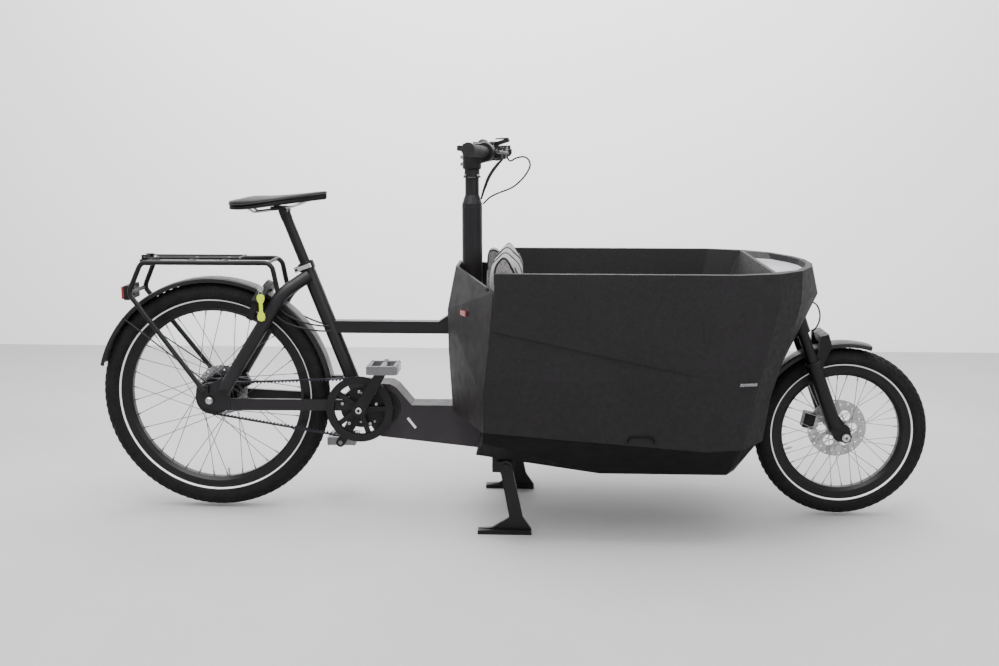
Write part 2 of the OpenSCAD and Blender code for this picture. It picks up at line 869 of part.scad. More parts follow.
// The sprung wire flap that holds a load on the rack.
module rack_clip() {
    color("#222223") {
        rod_y(xr - 197, clip_z, 3, -43, 43);
        both_sides()
            bar([xr - 197, -39, clip_z], [xr + 96, -39, clip_z], 2.4, 24);
        rod_y(xr + 96, clip_z, 3, -43, 43);
    }
}

module tail_lamp() {
    color("#3b3b3e")
        difference() {
            union() {
                block([xr - 262, -46, 664], [xr - 246, 46, 708]);
                block([xr - 250, -14, 676], [xr - 240, 14, 700]);
            }
            rod_y(xr - 238, 689, 6.02, -80, 80);
        }
    color("#8e1418")
        block([xr - 270, -44, 667], [xr - 262, 44, 705]);
}

// A curved guard over a wheel: a shallow channel turned through an arc.
module guard(r, half_w, from, to) {
    rotate([90, 0, 0])
        rotate([0, 0, from])
            rotate_extrude(angle = to - from, $fn = 160)
                polygon([[r - 14, -half_w], [r - 3, -half_w + 1], [r, -half_w + 9], [r + 1, 0], [r, half_w - 9],
                    [r - 3, half_w - 1], [r - 14, half_w], [r - 14, half_w - 2], [r - 5, half_w - 3],
                    [r - 2, half_w - 10], [r - 1, 0], [r - 2, 10 - half_w], [r - 5, 3 - half_w],
                    [r - 14, 2 - half_w]]);
}

// The rear fender with the thin stays and tabs that hold it.
module rear_fender() {
    a = 138;
    color("#202022")
        at_rear_axle()
            guard(fender_r - 1, rear_tyre_half + 3, 8.5, fender_tip);
    hook = [xr + (fender_r - 8) * cos(a), -rear_tyre_half - 5.5, zr + (fender_r - 8) * sin(a)];
    color("#1a1a1b") {
        both_sides() {
            bar(hook, [xr - 4, -68.4, zr + 46], 2.2, 16);
            rod_y(hook.x, hook.z, 4.5, -rear_tyre_half - 9, -rear_tyre_half - 1.8, 24);
            block([xr - 12, -70.9, zr + 38], [xr + 6, -67, zr + 50]);
        }
        // Tab to the stays below the seat tube.
        block([bb.x - 93, -10, bb.z + 84], [bb.x - 59, 10, bb.z + 92]);
    }
}

// ---- Ring lock ----

lock_angle = 63;
lock_in = 56;

module in_lock() {
    at_rear_axle()
        rotate([0, -lock_angle, 0])
            translate([rear_tyre_r - rear_tyre_half, 0, 0])
                children();
}

module ring_lock() {
    color("#161617")
        in_lock() {
            rotate([0, 0, -125])
                rotate_extrude(angle = 250)
                    translate([lock_in, -10])
                        square([22, 20]);
            rotate([0, 0, -62])
                translate([lock_in + 8, -22, -14])
                    cube([26, 44, 28]);
            for (s = [-1, 1])
                translate([-8, s * 64 - 9, -24])
                    cube([24, 18, 15]);
        }
}

// ---- Brakes ----

module front_caliper() {
    color("#232325")
        difference() {
            in_fork()
                translate([axle_offset + leg_offset - 62, 0, 47])
                    rotate([0, 32, 0]) {
                        difference() {
                            union() {
                                block([-30, front_disc_y - 12, -24], [4, front_disc_y + 24, 24]);
                                rod_y(-12, 0, 14, front_disc_y - 16, front_disc_y + 26);
                            }
                            block([-16, front_disc_y - 2.2, -40], [10, front_disc_y + 2.2, 40]);
                        }
                        block([-14, front_disc_y + 10, -20], [22, front_disc_y + 24, 24]);
                    }
            in_fork()
                translate([leg_offset, leg_gap / 2, 0])
                    cylinder(h = 300, r = 21.1);
            in_fork()
                block([3.5, 50, -40], [70, 90, 90]);
        }
}

module rear_caliper() {
    color("#232325")
        at_rear_axle()
            rotate([0, -24, 0])
                difference() {
                    union() {
                        block([66, rear_disc_y - 16, -20], [98, rear_disc_y + 2.7, 20]);
                        rod_y(82, 0, 14, rear_disc_y - 19, rear_disc_y + 2.6);
                    }
                    block([60, rear_disc_y - 2.2, -30], [86, rear_disc_y + 2.2, 30]);
                }
}

// ---- Drive ----

module pulley(r, y, teeth_depth, bore) {
    difference() {
        union() {
            difference() {
                rod_y(0, 0, r, y - 6, y + 6, 96);
                rod_y(0, 0, r - 14, y - 7, y + 7);
            }
            rod_y(0, 0, bore + 9, y - 5, y + 5);
            for (i = [0:4])
                rotate([0, i * 72, 0])
                    block([bore + 6, y - 3, -8], [r - 11, y + 3, 8]);
        }
        rod_y(0, 0, bore, y - 10, y + 10);
    }
}

belt_t = 4;

module belt_line(grow) {
    hull() {
        translate([xr, zr])
            circle(rear_pulley_r + grow, $fn = 72);
        translate([bb.x, bb.z])
            circle(front_pulley_r + grow, $fn = 96);
    }
}

module belt() {
    color("#131314")
        slab(-belt_y - 5, -belt_y + 5)
            difference() {
                belt_line(belt_t / 2);
                belt_line(-belt_t / 2);
            }
}

module front_pulley() {
    color("#1d1d1e")
        translate([bb.x, 0, bb.z]) {
            pulley(front_pulley_r - belt_t / 2 - side_gap, -belt_y, 0, 17);
            difference() {
                rod_y(0, 0, front_pulley_r + 7, -belt_y - 8.5, -belt_y - 6, 96);
                rod_y(0, 0, front_pulley_r - 16, -belt_y - 9, -belt_y - 5);
            }
        }
}

module rear_pulley() {
    color("#2b2b2c")
        at_rear_axle()
            difference() {
                union() {
                    pulley(rear_pulley_r - belt_t / 2 - side_gap, -belt_y, 0, rear_axle_r + run_gap);
                    rod_y(0, 0, 28, -belt_y - 5, -belt_y + 5);
                }
                rod_y(0, 0, rear_axle_r + run_gap, -80, -40);
            }
}

arm_dir = [cos(crank_angle), 0, sin(crank_angle)];
arm_y = 70;
arm_t = 14;
pedal_y = arm_y + arm_t;
pedal_pin_r = 7;

module crank_arm(side) {
    difference() {
        slab(side > 0 ? arm_y : -arm_y - arm_t, side > 0 ? arm_y + arm_t : -arm_y)
            hull() {
                translate([bb.x, bb.z])
                    circle(19);
                translate([bb.x - side * crank_len * arm_dir.x, bb.z - side * crank_len * arm_dir.z])
                    circle(14);
            }
        rod_y(bb.x - side * crank_len * arm_dir.x, bb.z - side * crank_len * arm_dir.z,
            pedal_pin_r + run_gap, -120, 120);
    }
}

module crank_set() {
    color("#262627") {
        crank_arm(-1);
        crank_arm(1);
        rod_y(bb.x, bb.z, 12, -arm_y - arm_t + 2, arm_y + arm_t - 2);
        // The spider that carries the belt pulley.
        rod_y(bb.x, bb.z, 16.98, -arm_y, -49.5);
        rod_y(bb.x, bb.z, 16.98, 49.5, arm_y);
    }
}

// A flat platform pedal that turns on its own pin.
module pedal(side) {
    px = bb.x - side * crank_len * arm_dir.x;
    pz = bb.z - side * crank_len * arm_dir.z;
    y0 = side > 0 ? pedal_y + 4 : -pedal_y - 96;
    translate([px, 0, pz]) {
        if (side > 0)
            rod_y(0, 0, pedal_pin_r, arm_y + 1, y0 + 90);
        else
            rod_y(0, 0, pedal_pin_r, -pedal_y - 94, -arm_y - 1);
        for (x = [-46, 33])
            block([x, y0, -12], [x + 13, y0 + 92, 12]);
        for (y = [y0, y0 + 82])
            block([-40, y, -13], [40, y + 10, 13]);
        rod_y(0, 0, 12, y0 + 10, y0 + 82);
    }
}

module pedal_right() {
    color("#8d8d90")
        pedal(-1);
}

module pedal_left() {
    color("#8d8d90")
        pedal(1);
}

// ---- Fork ----

module both_legs() {
    for (y = [-leg_gap / 2, leg_gap / 2])
        translate([leg_offset, y, 0])
            children();
}

module fork_crown() {
    color("#1c1c1d")
        in_fork() {
            difference() {
                cylinder(h = head_high + 18, r = 15);
                translate([0, 0, -1])
                    cylinder(h = crown_d - 17, r = 40);
            }
            translate([0, 0, head_low - 8])
                cylinder(h = 7.5, r = 27);
            translate([0, 0, head_high + 0.5])
                cylinder(h = 14, r = 27);
            difference() {
                union() {
                    hull() {
                        translate([0, 0, crown_d - 18])
                            cylinder(h = 34, r = 24);
                        both_legs()
                            translate([0, 0, crown_d - 18])
                                cylinder(h = 34, r = 20);
                    }
                    both_legs()
                        translate([0, 0, crown_d - 24])
                            cylinder(h = 48, r = 23);
                }
                both_legs()
                    translate([0, 0, crown_d - 60])
                        cylinder(h = 80, r = stanchion_r - 0.01);
                translate([0, 0, crown_d - 60])
                    cylinder(h = 120, r = 14.9);
            }
            both_legs() {
                difference() {
                    translate([0, 0, 120])
                        cylinder(h = crown_d - 102, r = stanchion_r);
                    translate([0, 0, 119])
                        cylinder(h = crown_d - 112, r = stanchion_r - 2.5);
                }
                translate([0, 0, crown_d + 18])
                    cylinder(h = 9, r = 17);
            }
        }
}

module fork_lowers() {
    color("#19191a")
        difference() {
            in_fork() {
                both_legs()
                    difference() {
                        translate([0, 0, 40])
                            cylinder(h = 208, r = 21);
                        translate([0, 0, 60])
                            cylinder(h = 200, r = stanchion_r + run_gap);
                    }
                both_sides() {
                    // Fork end round the axle.
                    slab(-75, -front_hub_half - 1)
                        polygon([[4, 70], [4, 40], [axle_offset + leg_offset - 18, -6],
                            [axle_offset + leg_offset - 8, -17], [axle_offset + leg_offset + 10, -17],
                            [axle_offset + leg_offset + 18, -4], [axle_offset + leg_offset + 14, 22], [46, 70]]);
                    // Side of the arch over the tyre.
                    slab(-62, -46)
                        polygon([[38, 196], [56, 236], [94, 274], [97, 314], [70, 316], [56, 282], [28, 247]]);
                }
                slab(-60, 60)
                    polygon([[69, 292], [96, 290], [97, 314], [72, 316]]);
            }
            in_fork()
                both_legs()
                    translate([0, 0, 60])
                        cylinder(h = 260, r = stanchion_r + run_gap);
            rod_y(xf, zf, front_axle_r + 0.05, -100, 100);
        }
}

module front_fender() {
    color("#202022") {
        at_front_axle()
            guard(front_tyre_r + 23, front_tyre_half + 5, 74, 156);
        in_fork()
            slab(-12, 12)
                polygon([[72, front_tyre_r + 20], [92, front_tyre_r + 18], [92, 290], [72, 291.6]]);
    }
}

front_hose_path = [[-141, 0, 410], [-120, 0, 412], [-104, 2, 409], [-88, 6, 399], [-78, 10, 381],
    [-74, 14, 360], [-76, 18, 341], [-83, 22, 325], [-92, 26, 315]];

module front_hose() {
    color("#131314")
        hose([for (p = front_hose_path) [xf, 0, zf - 8] + p], 2.6, 4);
}

// Two cables in housings carry the steering from the column to the fork.
module steering_cables() {
    beside = [0, -mast_r - 4, 0];
    up = mast_top - mast_foot;
    color("#131314")
        difference() {
            both_sides()
                bent_bar([[col_x + 31, -13, 405], [col_x + 56, -13, 405], [col_x + 78, -20, beam_high + 7],
                    [mast_foot.x - 24, -20, beam_high + 7], mast_foot + 0.14 * up + beside,
                    mast_foot + 0.94 * up + beside], 2.5, 18, 8);
            bar(on_fork(head_low - 5), on_fork(head_high + 5), 29.05, 48);
        }
}

// Hoses and wires along the rear frame.
module frame_hoses() {
    color("#131314") {
        difference() {
            union() {
                hose([[bb.x - 246, -52, 650], [bb.x - 214, -56, 622], [bb.x - 168, -48, 600],
                    [bb.x - 124, -34, 588], [bb.x - 94, -20, 585]], 2.6);
                hose([[bb.x - 258, -54, 630], [bb.x - 226, -60, 604], [bb.x - 176, -52, 584],
                    [bb.x - 124, -36, 572], [bb.x - 88, -20, 570]], 2.6);
                hose([[bb.x - 250, 52, 644], [bb.x - 218, 56, 618], [bb.x - 172, 48, 596],
                    [bb.x - 124, 34, 582], [bb.x - 91, 20, 578]], 2.6);
            }
            stay_bars(stay_r + 0.05);
            bar(on_seat(500), on_seat(700), seat_tube_r + 0.05, 48);
        }
    }
}

// ---- Handlebar ----

bar_x = col_x + 75;
bar_end_x = col_x + 13;
bar_rise = 18;
bar_mid_z = bar_z - bar_rise;
cone_top = 987;

module steerer() {
    color("#1b1b1c") {
        difference() {
            union() {
                bar([col_x, 0, 352], [col_x, 0, 1086], steerer_r, 48);
                translate([col_x, 0, column_top + side_gap])
                    cylinder(h = 9, r = column_r);
                translate([col_x, 0, column_top + side_gap + 9])
                    cylinder(h = cone_top - column_top - 12, r1 = column_r - 1, r2 = steerer_r + 0.5);
            }
            bar([col_x, 0, 300], [col_x, 0, 1090], steerer_r - 3, 48);
        }
        // The clamp ring under the stem.
        translate([col_x, 0, 1036])
            difference() {
                union() {
                    cylinder(h = 5, r = steerer_r + 5);
                    translate([0, 0, 5])
                        cylinder(h = 22, r = steerer_r + 2);
                }
                translate([0, 0, -1])
                    cylinder(h = 40, r = steerer_r + 0.01);
            }
    }
}

module stem() {
    color("#1c1c1d")
        difference() {
            union() {
                translate([col_x, 0, 1064])
                    cylinder(h = 72, r = 28);
                hull() {
                    translate([col_x + 8, -18, 1076])
                        cube([10, 36, 52]);
                    translate([bar_x - 16, -16, bar_mid_z - 20])
                        cube([10, 32, 40]);
                }
                rod_y(bar_x, bar_mid_z, 22, -22, 22);
                block([col_x - 34, -8, 1071], [col_x - 22, 8, 1080]);
                block([col_x - 34, -8, 1092], [col_x - 22, 8, 1101]);
            }
            bar([col_x, 0, 1060], [col_x, 0, 1120], steerer_r + 0.02, 48);
            rod_y(bar_x, bar_mid_z, 15.92, -30, 30);
        }
}

module handlebar() {
    color("#141415")
        difference() {
            union() {
                bent_bar([[bar_end_x, -bar_w / 2, bar_z], [bar_x, -100, bar_mid_z], [bar_x, 100, bar_mid_z],
                    [bar_end_x, bar_w / 2, bar_z]], 11.1, 60, 24, [0, 0, 1]);
                rod_y(bar_x, bar_mid_z, 15.9, -34, 34);
            }
            rod_y(bar_x, bar_mid_z, 9, -60, 60);
        }
}

bar_back = atan((bar_x - bar_end_x) / (bar_w / 2 - 100));
bar_reach = (bar_w / 2 - 100) / cos(bar_back);
bar_tilt = atan(bar_rise / bar_reach);

// Along the swept end of the bar: Z runs outward from the point at y = -out.
module on_bar(out) {
    k = (out - 100) / (bar_w / 2 - 100);
    translate([bar_x + k * (bar_end_x - bar_x), -out, bar_mid_z + k * bar_rise])
        rotate([90 - bar_tilt, 0, -bar_back])
            children();
}

grip_len = (bar_w / 2 - 204) / cos(bar_back) / cos(bar_tilt);

module grips() {
    color("#202021")
        both_sides()
            on_bar(204)
                difference() {
                    union() {
                        cylinder(h = grip_len, r = 16.5);
                        translate([0, 0, grip_len - 10])
                            cylinder(h = 13, r = 19);
                        // The palm rest behind the bar.
                        translate([-34, -3, grip_len - 66])
                            cube([34, 14, 62]);
                    }
                    translate([0, 0, -1])
                        cylinder(h = grip_len + 1.3, r = 11.15);
                }
}

module bar_controls() {
    color("#232325") {
        both_sides() {
            // Brake cylinder and clamp.
            on_bar(140)
                difference() {
                    union() {
                        cylinder(h = 16, r = 17);
                        translate([10, -12, 0])
                            cube([26, 24, 16]);
                    }
                    translate([0, 0, -1])
                        cylinder(h = 20, r = 11.12);
                    translate([20, -30, 8])
                        rotate([-90, 0, 0])
                            cylinder(h = 60, r = 3.05, $fn = 32);
                }
            on_bar(138)
                translate([24, 0, 0])
                    rotate([0, 172, 0])
                        cylinder(h = 50, r = 9);
        }
        // Gear twist ring.
        on_bar(174)
            difference() {
                cylinder(h = 26, r = 26);
                translate([0, 0, -1])
                    cylinder(h = 30, r = 11.12);
            }
        mirror([0, 1, 0])
            on_bar(176)
                difference() {
                    union() {
                        cylinder(h = 22, r = 18);
                        translate([-6, 10, 0])
                            cube([24, 14, 27.5]);
                    }
                    translate([0, 0, -1])
                        cylinder(h = 32, r = 11.12);
                }
        // Round display on the stem.
        difference() {
            translate([bar_x + 12, 0, bar_mid_z + 22.5])
                rotate([0, -18, 0])
                    translate([4, 0, 3])
                        cylinder(h = 12, r = 25);
            rod_y(bar_x, bar_mid_z, 22.3, -30, 30);
            block([bar_x - 60, -30, 1060], [bar_x - 5.7, 30, bar_mid_z + 20.3]);
        }
    }
}

module brake_lever() {
    on_bar(140)
        translate([20, 0, 8])
            difference() {
                union() {
                    rotate([-90, 0, 0])
                        translate([0, 0, 12.3])
                            cylinder(h = 4, r = 7);
                    rotate([-90, 0, 0])
                        translate([0, 0, -16.3])
                            cylinder(h = 4, r = 7);
                    rotate([-90, 0, 0])
                        translate([0, 0, -16])
                            cylinder(h = 32, r = 3, $fn = 32);
                    for (y = [-16.3, 12.3])
                        translate([0, y, -4])
                            cube([26, 4, 9]);
                    translate([20, -16.3, -4])
                        cube([8, 32.6, 9]);
                    bent_bar([[24, 0, 2], [34, 0, 14], [30, 0, 96], [38, 0, 106]], 4.5, 8, 12);
                }
            }
}

module brake_lever_right() {
    color("#9a9a9d")
        brake_lever();
}

module brake_lever_left() {
    color("#9a9a9d")
        mirror([0, 1, 0])
            brake_lever();
}

bar_hose_paths = [
    [[33.4, -2, 958], [56, -14, 979], [84, -26, 993], [118, -42, 1007], [142, -56, 1025], [163, -70, 1049],
        [175, -80, 1074], [170, -86, 1092], [156, -88, 1100], [134, -86, 1096], [116, -84, 1088], [104, -82, 1108]],
    [[27.4, -8, 972], [35, -14, 1000], [50, -24, 1040], [72, -42, 1072], [92, -62, 1092], [104, -84, 1112]],
    [[27.4, 8, 972], [37, 14, 1000], [54, 26, 1040], [76, 44, 1072], [94, 64, 1094], [104, 84, 1112]],
];

module bar_hoses() {
    color("#131314")
        for (path = bar_hose_paths)
            hose([for (p = path) [col_x, 0, 0] + p], 2.5, 4);
}

// ---- Stand ----

module stand_legs() {
    foot_y = stand_half;
    color("#191919") {
        difference() {
            union() {
                rod_y(stand_x, stand_z, 16, -foot_y + 5, foot_y - 5);
                both_sides() {
                    slab(-foot_y - 7, -foot_y + 5)
                        polygon([[stand_x - 26, stand_z + 16], [stand_x + 16, stand_z + 16], [stand_x + 22, stand_z - 20],
                            [stand_x + 50, 52], [stand_x + 76, 14], [stand_x + 76, 0], [stand_x - 83, 0],
                            [stand_x - 83, 12], [stand_x - 40, 18], [stand_x + 10, 50], [stand_x - 14, stand_z - 24]]);
                    slab(-foot_y - 20, -foot_y + 12)
                        polygon([[stand_x + 76, 10], [stand_x + 76, 0], [stand_x - 83, 0], [stand_x - 83, 12],
                            [stand_x - 50, 14], [stand_x + 66, 14]]);
                    rod_y(stand_x, stand_z, 20, -foot_y - 7, -foot_y + 5);
                }
            }
            rod_y(stand_x, stand_z, 13, -foot_y + 10, foot_y - 10);
        }
    }
    color("silver")
        both_sides()
            rod_y(stand_x, stand_z, 10, -foot_y - 12, -foot_y - 6.9);
}

// ---- Saddle ----

post_clamp = on_seat(saddle_z - 6);

module seat_collar() {
    top = on_seat(seat_tube_top - 2);
    color("#1d1d1e")
        difference() {
            union() {
                bar(top - 22 * seat_dir, top, seat_tube_r + 3.5, 48);
                translate(top - 11 * seat_dir)
                    rotate([0, -seat_lean, 0]) {
                        block([-38, -8, -8], [-20, -2, 8]);
                        block([-38, 2, -8], [-20, 8, 8]);
                    }
            }
            bar(top - 40 * seat_dir, top + 20 * seat_dir, seat_tube_r + 0.02, 48);
            translate(top - 11 * seat_dir)
                rotate([0, -seat_lean, 0])
                    rod_y(-31, 0, 2.8, -30, 30, 24);
        }
    color("silver")
        translate(top - 11 * seat_dir)
            rotate([0, -seat_lean, 0]) {
                rod_y(-31, 0, 2.8, -20, 12, 24);
                rod_y(-31, 0, 6, 8, 13, 24);
                translate([-31, -20, -6])
                    cylinder(h = 12, r = 2, $fn = 24);
            }
}

// The quick-release lever, turned on the pin at the end of the clamp bolt.
module seat_lever() {
    top = on_seat(seat_tube_top - 2);
    color("silver")
        translate(top - 11 * seat_dir)
            rotate([0, -seat_lean, 0])
                translate([-31, -20, 0]) {
                    for (z = [-6, 3.3])
                        translate([0, 0, z])
                            difference() {
                                union() {
                                    cylinder(h = 2.7, r = 5);
                                    translate([0, -5, 0])
                                        cube([12, 4.5, 2.7]);
                                }
                                translate([0, 0, -1])
                                    cylinder(h = 6, r = 2 + run_gap, $fn = 24);
                            }
                    translate([8, -8, -6])
                        rotate([0, 0, -12])
                            cube([44, 6, 12]);
                }
}

saddle_x = xr + 221;

module seat_post() {
    color("#19191a") {
        pipe(on_seat(600), on_seat(saddle_z - 30), post_r, 2.5);
        difference() {
            union() {
                bar(on_seat(saddle_z - 30), post_clamp, 17);
                rod_y(post_clamp.x + 2, saddle_z - 4, 13, -27, 27);
            }
            both_sides()
                bar([saddle_x - 80, -22, saddle_z - 8], [saddle_x + 40, -22, saddle_z + 8], 3.6, 24);
        }
    }
}

// Half outline of the saddle from above, from the tail to the nose.
saddle_side = [[-152, 30], [-142, 62], [-118, 0.5 * saddle_w], [-76, 0.49 * saddle_w], [-30, 64], [20, 42],
    [76, 26], [124, 19], [143, 9]];

module saddle() {
    // Rails.
    color("silver")
        both_sides()
            bent_bar([[saddle_x - 104, -34, saddle_z + 12], [saddle_x - 80, -22, saddle_z - 8],
                [saddle_x + 40, -22, saddle_z + 8], [saddle_x + 112, -10, saddle_z + 37]], 3.5, 20, 12);
    color("#232123")
        intersection() {
            translate([saddle_x, 0, saddle_z])
                linear_extrude(80)
                    polygon(concat(saddle_side, [for (i = [len(saddle_side) - 1:-1:0])
                        [saddle_side[i].x, -saddle_side[i].y]]));
            translate([saddle_x, 0, saddle_z])
                slab(-saddle_w, saddle_w)
                    polygon([[-160, 8], [-110, 3], [-20, 14], [40, 24], [126, 34], [146, 44], [146, 54],
                        [126, 58], [60, 50], [0, 43], [-60, 38], [-120, 33], [-160, 26]]);
        }
}

main_beam();
seat_tube();
top_tube();
seat_stays();
chain_stays();
column_tube();
fork_mast();
stand_mount();
motor_unit();
box_shell();
box_tray();
rear_cover();
box_reflectors();
front_ledge();
bench();
seat_pads();
rack();
rack_clip();
tail_lamp();
rear_fender();
ring_lock();
rear_axle();
rear_caliper();
belt();
seat_collar();
frame_hoses();
steering_cables();
front_hose();
steerer();
stem();
handlebar();
grips();
bar_controls();
bar_hoses();
brake_lever_right();
brake_lever_left();
fork_crown();
fork_lowers();
front_fender();
front_axle();
front_caliper();
front_tyre();
front_rim();
front_spokes();
front_hub();
front_disc();
rear_tyre();
rear_rim();
rear_spokes();
rear_hub();
rear_disc();
rear_pulley();
crank_set();
front_pulley();
pedal_right();
pedal_left();
stand_legs();
seat_post();
saddle();
seat_lever();
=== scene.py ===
"""The looks of a front-loading cargo bicycle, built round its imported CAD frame.

The frame gives every node's place and body. The operators below give each
node its finish and add the pieces that cloth, rubber, thread and wire need.
"""

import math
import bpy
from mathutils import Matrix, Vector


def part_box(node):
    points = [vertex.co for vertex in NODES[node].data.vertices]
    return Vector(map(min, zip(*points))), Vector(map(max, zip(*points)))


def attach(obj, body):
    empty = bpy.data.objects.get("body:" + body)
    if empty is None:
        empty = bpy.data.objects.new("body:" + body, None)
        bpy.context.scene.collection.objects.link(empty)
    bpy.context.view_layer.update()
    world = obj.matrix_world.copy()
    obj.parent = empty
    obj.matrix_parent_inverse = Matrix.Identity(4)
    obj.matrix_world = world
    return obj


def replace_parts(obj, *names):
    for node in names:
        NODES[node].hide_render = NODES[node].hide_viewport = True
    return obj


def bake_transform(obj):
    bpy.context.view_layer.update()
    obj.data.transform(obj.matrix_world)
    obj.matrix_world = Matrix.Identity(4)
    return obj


bl_info = {
    "name": "Cargo Bicycle Looks",
    "version": (1, 0, 0),
    "blender": (4, 5, 0),
    "location": "View3D > Sidebar > Cargo Bicycle",
    "description": "Finishes and soft pieces of a front-loading cargo bicycle",
    "category": "Object",
}

import bmesh
import bpy
from bpy.props import (
    FloatProperty,
    FloatVectorProperty,
    IntProperty,
    PointerProperty,
)
from bpy.types import Operator, Panel, PropertyGroup
from mathutils import Matrix, Vector

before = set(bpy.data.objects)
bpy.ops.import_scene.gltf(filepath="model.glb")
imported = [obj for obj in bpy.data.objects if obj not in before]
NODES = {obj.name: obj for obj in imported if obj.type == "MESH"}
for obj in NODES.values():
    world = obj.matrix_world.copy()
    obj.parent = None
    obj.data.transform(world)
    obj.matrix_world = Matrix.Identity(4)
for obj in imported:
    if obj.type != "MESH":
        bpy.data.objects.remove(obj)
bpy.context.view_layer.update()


def middle(node):
    """Centre of a CAD node's box."""
    low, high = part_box(node)
    return (low + high) / 2


REAR = middle("rear_tyre")
FRONT = middle("front_tyre")
REAR_R = (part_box("rear_tyre")[1].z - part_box("rear_tyre")[0].z) / 2
FRONT_R = (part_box("front_tyre")[1].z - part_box("front_tyre")[0].z) / 2
CRANK = middle("front_pulley")
COLUMN = middle("column_tube")
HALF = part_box("box_shell")[1].y
CORNER = COLUMN.x + 0.083
STAND = Vector((COLUMN.x + 0.111, 0, 0.204))
LEAN = math.radians(20.8)
ALONG_FORK = Vector((-math.sin(LEAN), 0, math.cos(LEAN)))
FORWARD_OF_FORK = Vector((math.cos(LEAN), 0, math.sin(LEAN)))
FORK_FOOT = Vector((FRONT.x, 0, FRONT.z)) - 0.044 * FORWARD_OF_FORK
SADDLE = Vector((REAR.x + 0.221, 0, 0.94))
SEAL_HIGH = 0.249
HOSE = [Vector((FRONT.x + x, y, FRONT.z - 0.008 + z)) for x, y, z in (
    (-0.141, 0, 0.410), (-0.120, 0, 0.412), (-0.104, 0.002, 0.409), (-0.088, 0.006, 0.399),
    (-0.078, 0.010, 0.381),
    (-0.074, 0.014, 0.360), (-0.076, 0.018, 0.341), (-0.083, 0.022, 0.325), (-0.092, 0.026, 0.315))]


# ---------------------------------------------------------------- settings


class FinishSettings(PropertyGroup):
    """Colours of the painted, moulded and woven surfaces."""

    frame_paint: FloatVectorProperty(
        name="Frame paint", description="Powder coat of the frame tubes",
        subtype="COLOR", size=3, min=0, max=1, default=(0.0098, 0.0086, 0.0096))
    beam_paint: FloatVectorProperty(
        name="Beam paint", description="Powder coat of the low main beam",
        subtype="COLOR", size=3, min=0, max=1, default=(0.0225, 0.0188, 0.0212))
    box_foam: FloatVectorProperty(
        name="Box foam", description="Moulded bead foam of the box",
        subtype="COLOR", size=3, min=0, max=1, default=(0.0088, 0.0078, 0.0086))
    tray_plastic: FloatVectorProperty(
        name="Tray plastic", description="Hard tray under the box",
        subtype="COLOR", size=3, min=0, max=1, default=(0.0022, 0.002, 0.0021))
    cover_plastic: FloatVectorProperty(
        name="Cover plastic", description="Faceted cover round the column",
        subtype="COLOR", size=3, min=0, max=1, default=(0.0118, 0.0103, 0.0108))
    pad_fabric: FloatVectorProperty(
        name="Pad fabric", description="Light yarn of the seat pads",
        subtype="COLOR", size=3, min=0, max=1, default=(0.235, 0.225, 0.228))
    key_tag: FloatVectorProperty(
        name="Key tag", description="Bright ribbon on the lock's key",
        subtype="COLOR", size=3, min=0, max=1, default=(0.62, 0.78, 0.015))
    reflector_red: FloatVectorProperty(
        name="Red reflector", description="Side reflectors of the cover",
        subtype="COLOR", size=3, min=0, max=1, default=(0.42, 0.02, 0.03))


class WheelSettings(PropertyGroup):
    """Sizes of the tyre trim."""

    stripe_width: FloatProperty(
        name="Stripe width", description="Width of the reflecting stripe",
        subtype="DISTANCE", unit="LENGTH", min=0.002, max=0.008, default=0.0042)
    block_height: FloatProperty(
        name="Block height", description="Height of the tread blocks",
        subtype="DISTANCE", unit="LENGTH", min=0.0005, max=0.003, default=0.0017)
    rear_blocks: IntProperty(
        name="Rear tread steps", description="Tread steps round the rear tyre",
        min=40, max=140, default=92)
    front_blocks: IntProperty(
        name="Front tread steps", description="Tread steps round the front tyre",
        min=40, max=120, default=68)


class PadSettings(PropertyGroup):
    """How the seat pads are blown up and sewn."""

    pressure: FloatProperty(
        name="Pressure", description="Cloth pressure that fills the pads",
        min=0.5, max=10, default=4)
    steps: IntProperty(
        name="Steps", description="Cloth steps", min=5, max=40, default=16)
    most_swell: FloatProperty(
        name="Most swell", description="Furthest that a point of a pad may move",
        subtype="DISTANCE", unit="LENGTH", min=0.002, max=0.03, default=0.009)
    piping: FloatProperty(
        name="Piping", description="Radius of the piping round each pad",
        subtype="DISTANCE", unit="LENGTH", min=0.001, max=0.006, default=0.0032)


class StageSettings(PropertyGroup):
    """Floor, light and camera."""

    floor_color: FloatVectorProperty(
        name="Floor", description="Colour of the plain floor",
        subtype="COLOR", size=3, min=0, max=1, default=(0.36, 0.355, 0.36))
    sky: FloatProperty(
        name="Sky", description="Strength of the even light all round",
        min=0, max=3, default=0.95)
    key: FloatProperty(
        name="Key light", description="Power of the large light overhead",
        subtype="POWER", unit="POWER", min=0, max=2000, default=190)
    lens: FloatProperty(
        name="Lens", description="Focal length of the camera",
        subtype="DISTANCE_CAMERA", unit="CAMERA", min=20, max=120, default=40.97)


# ---------------------------------------------------------------- materials


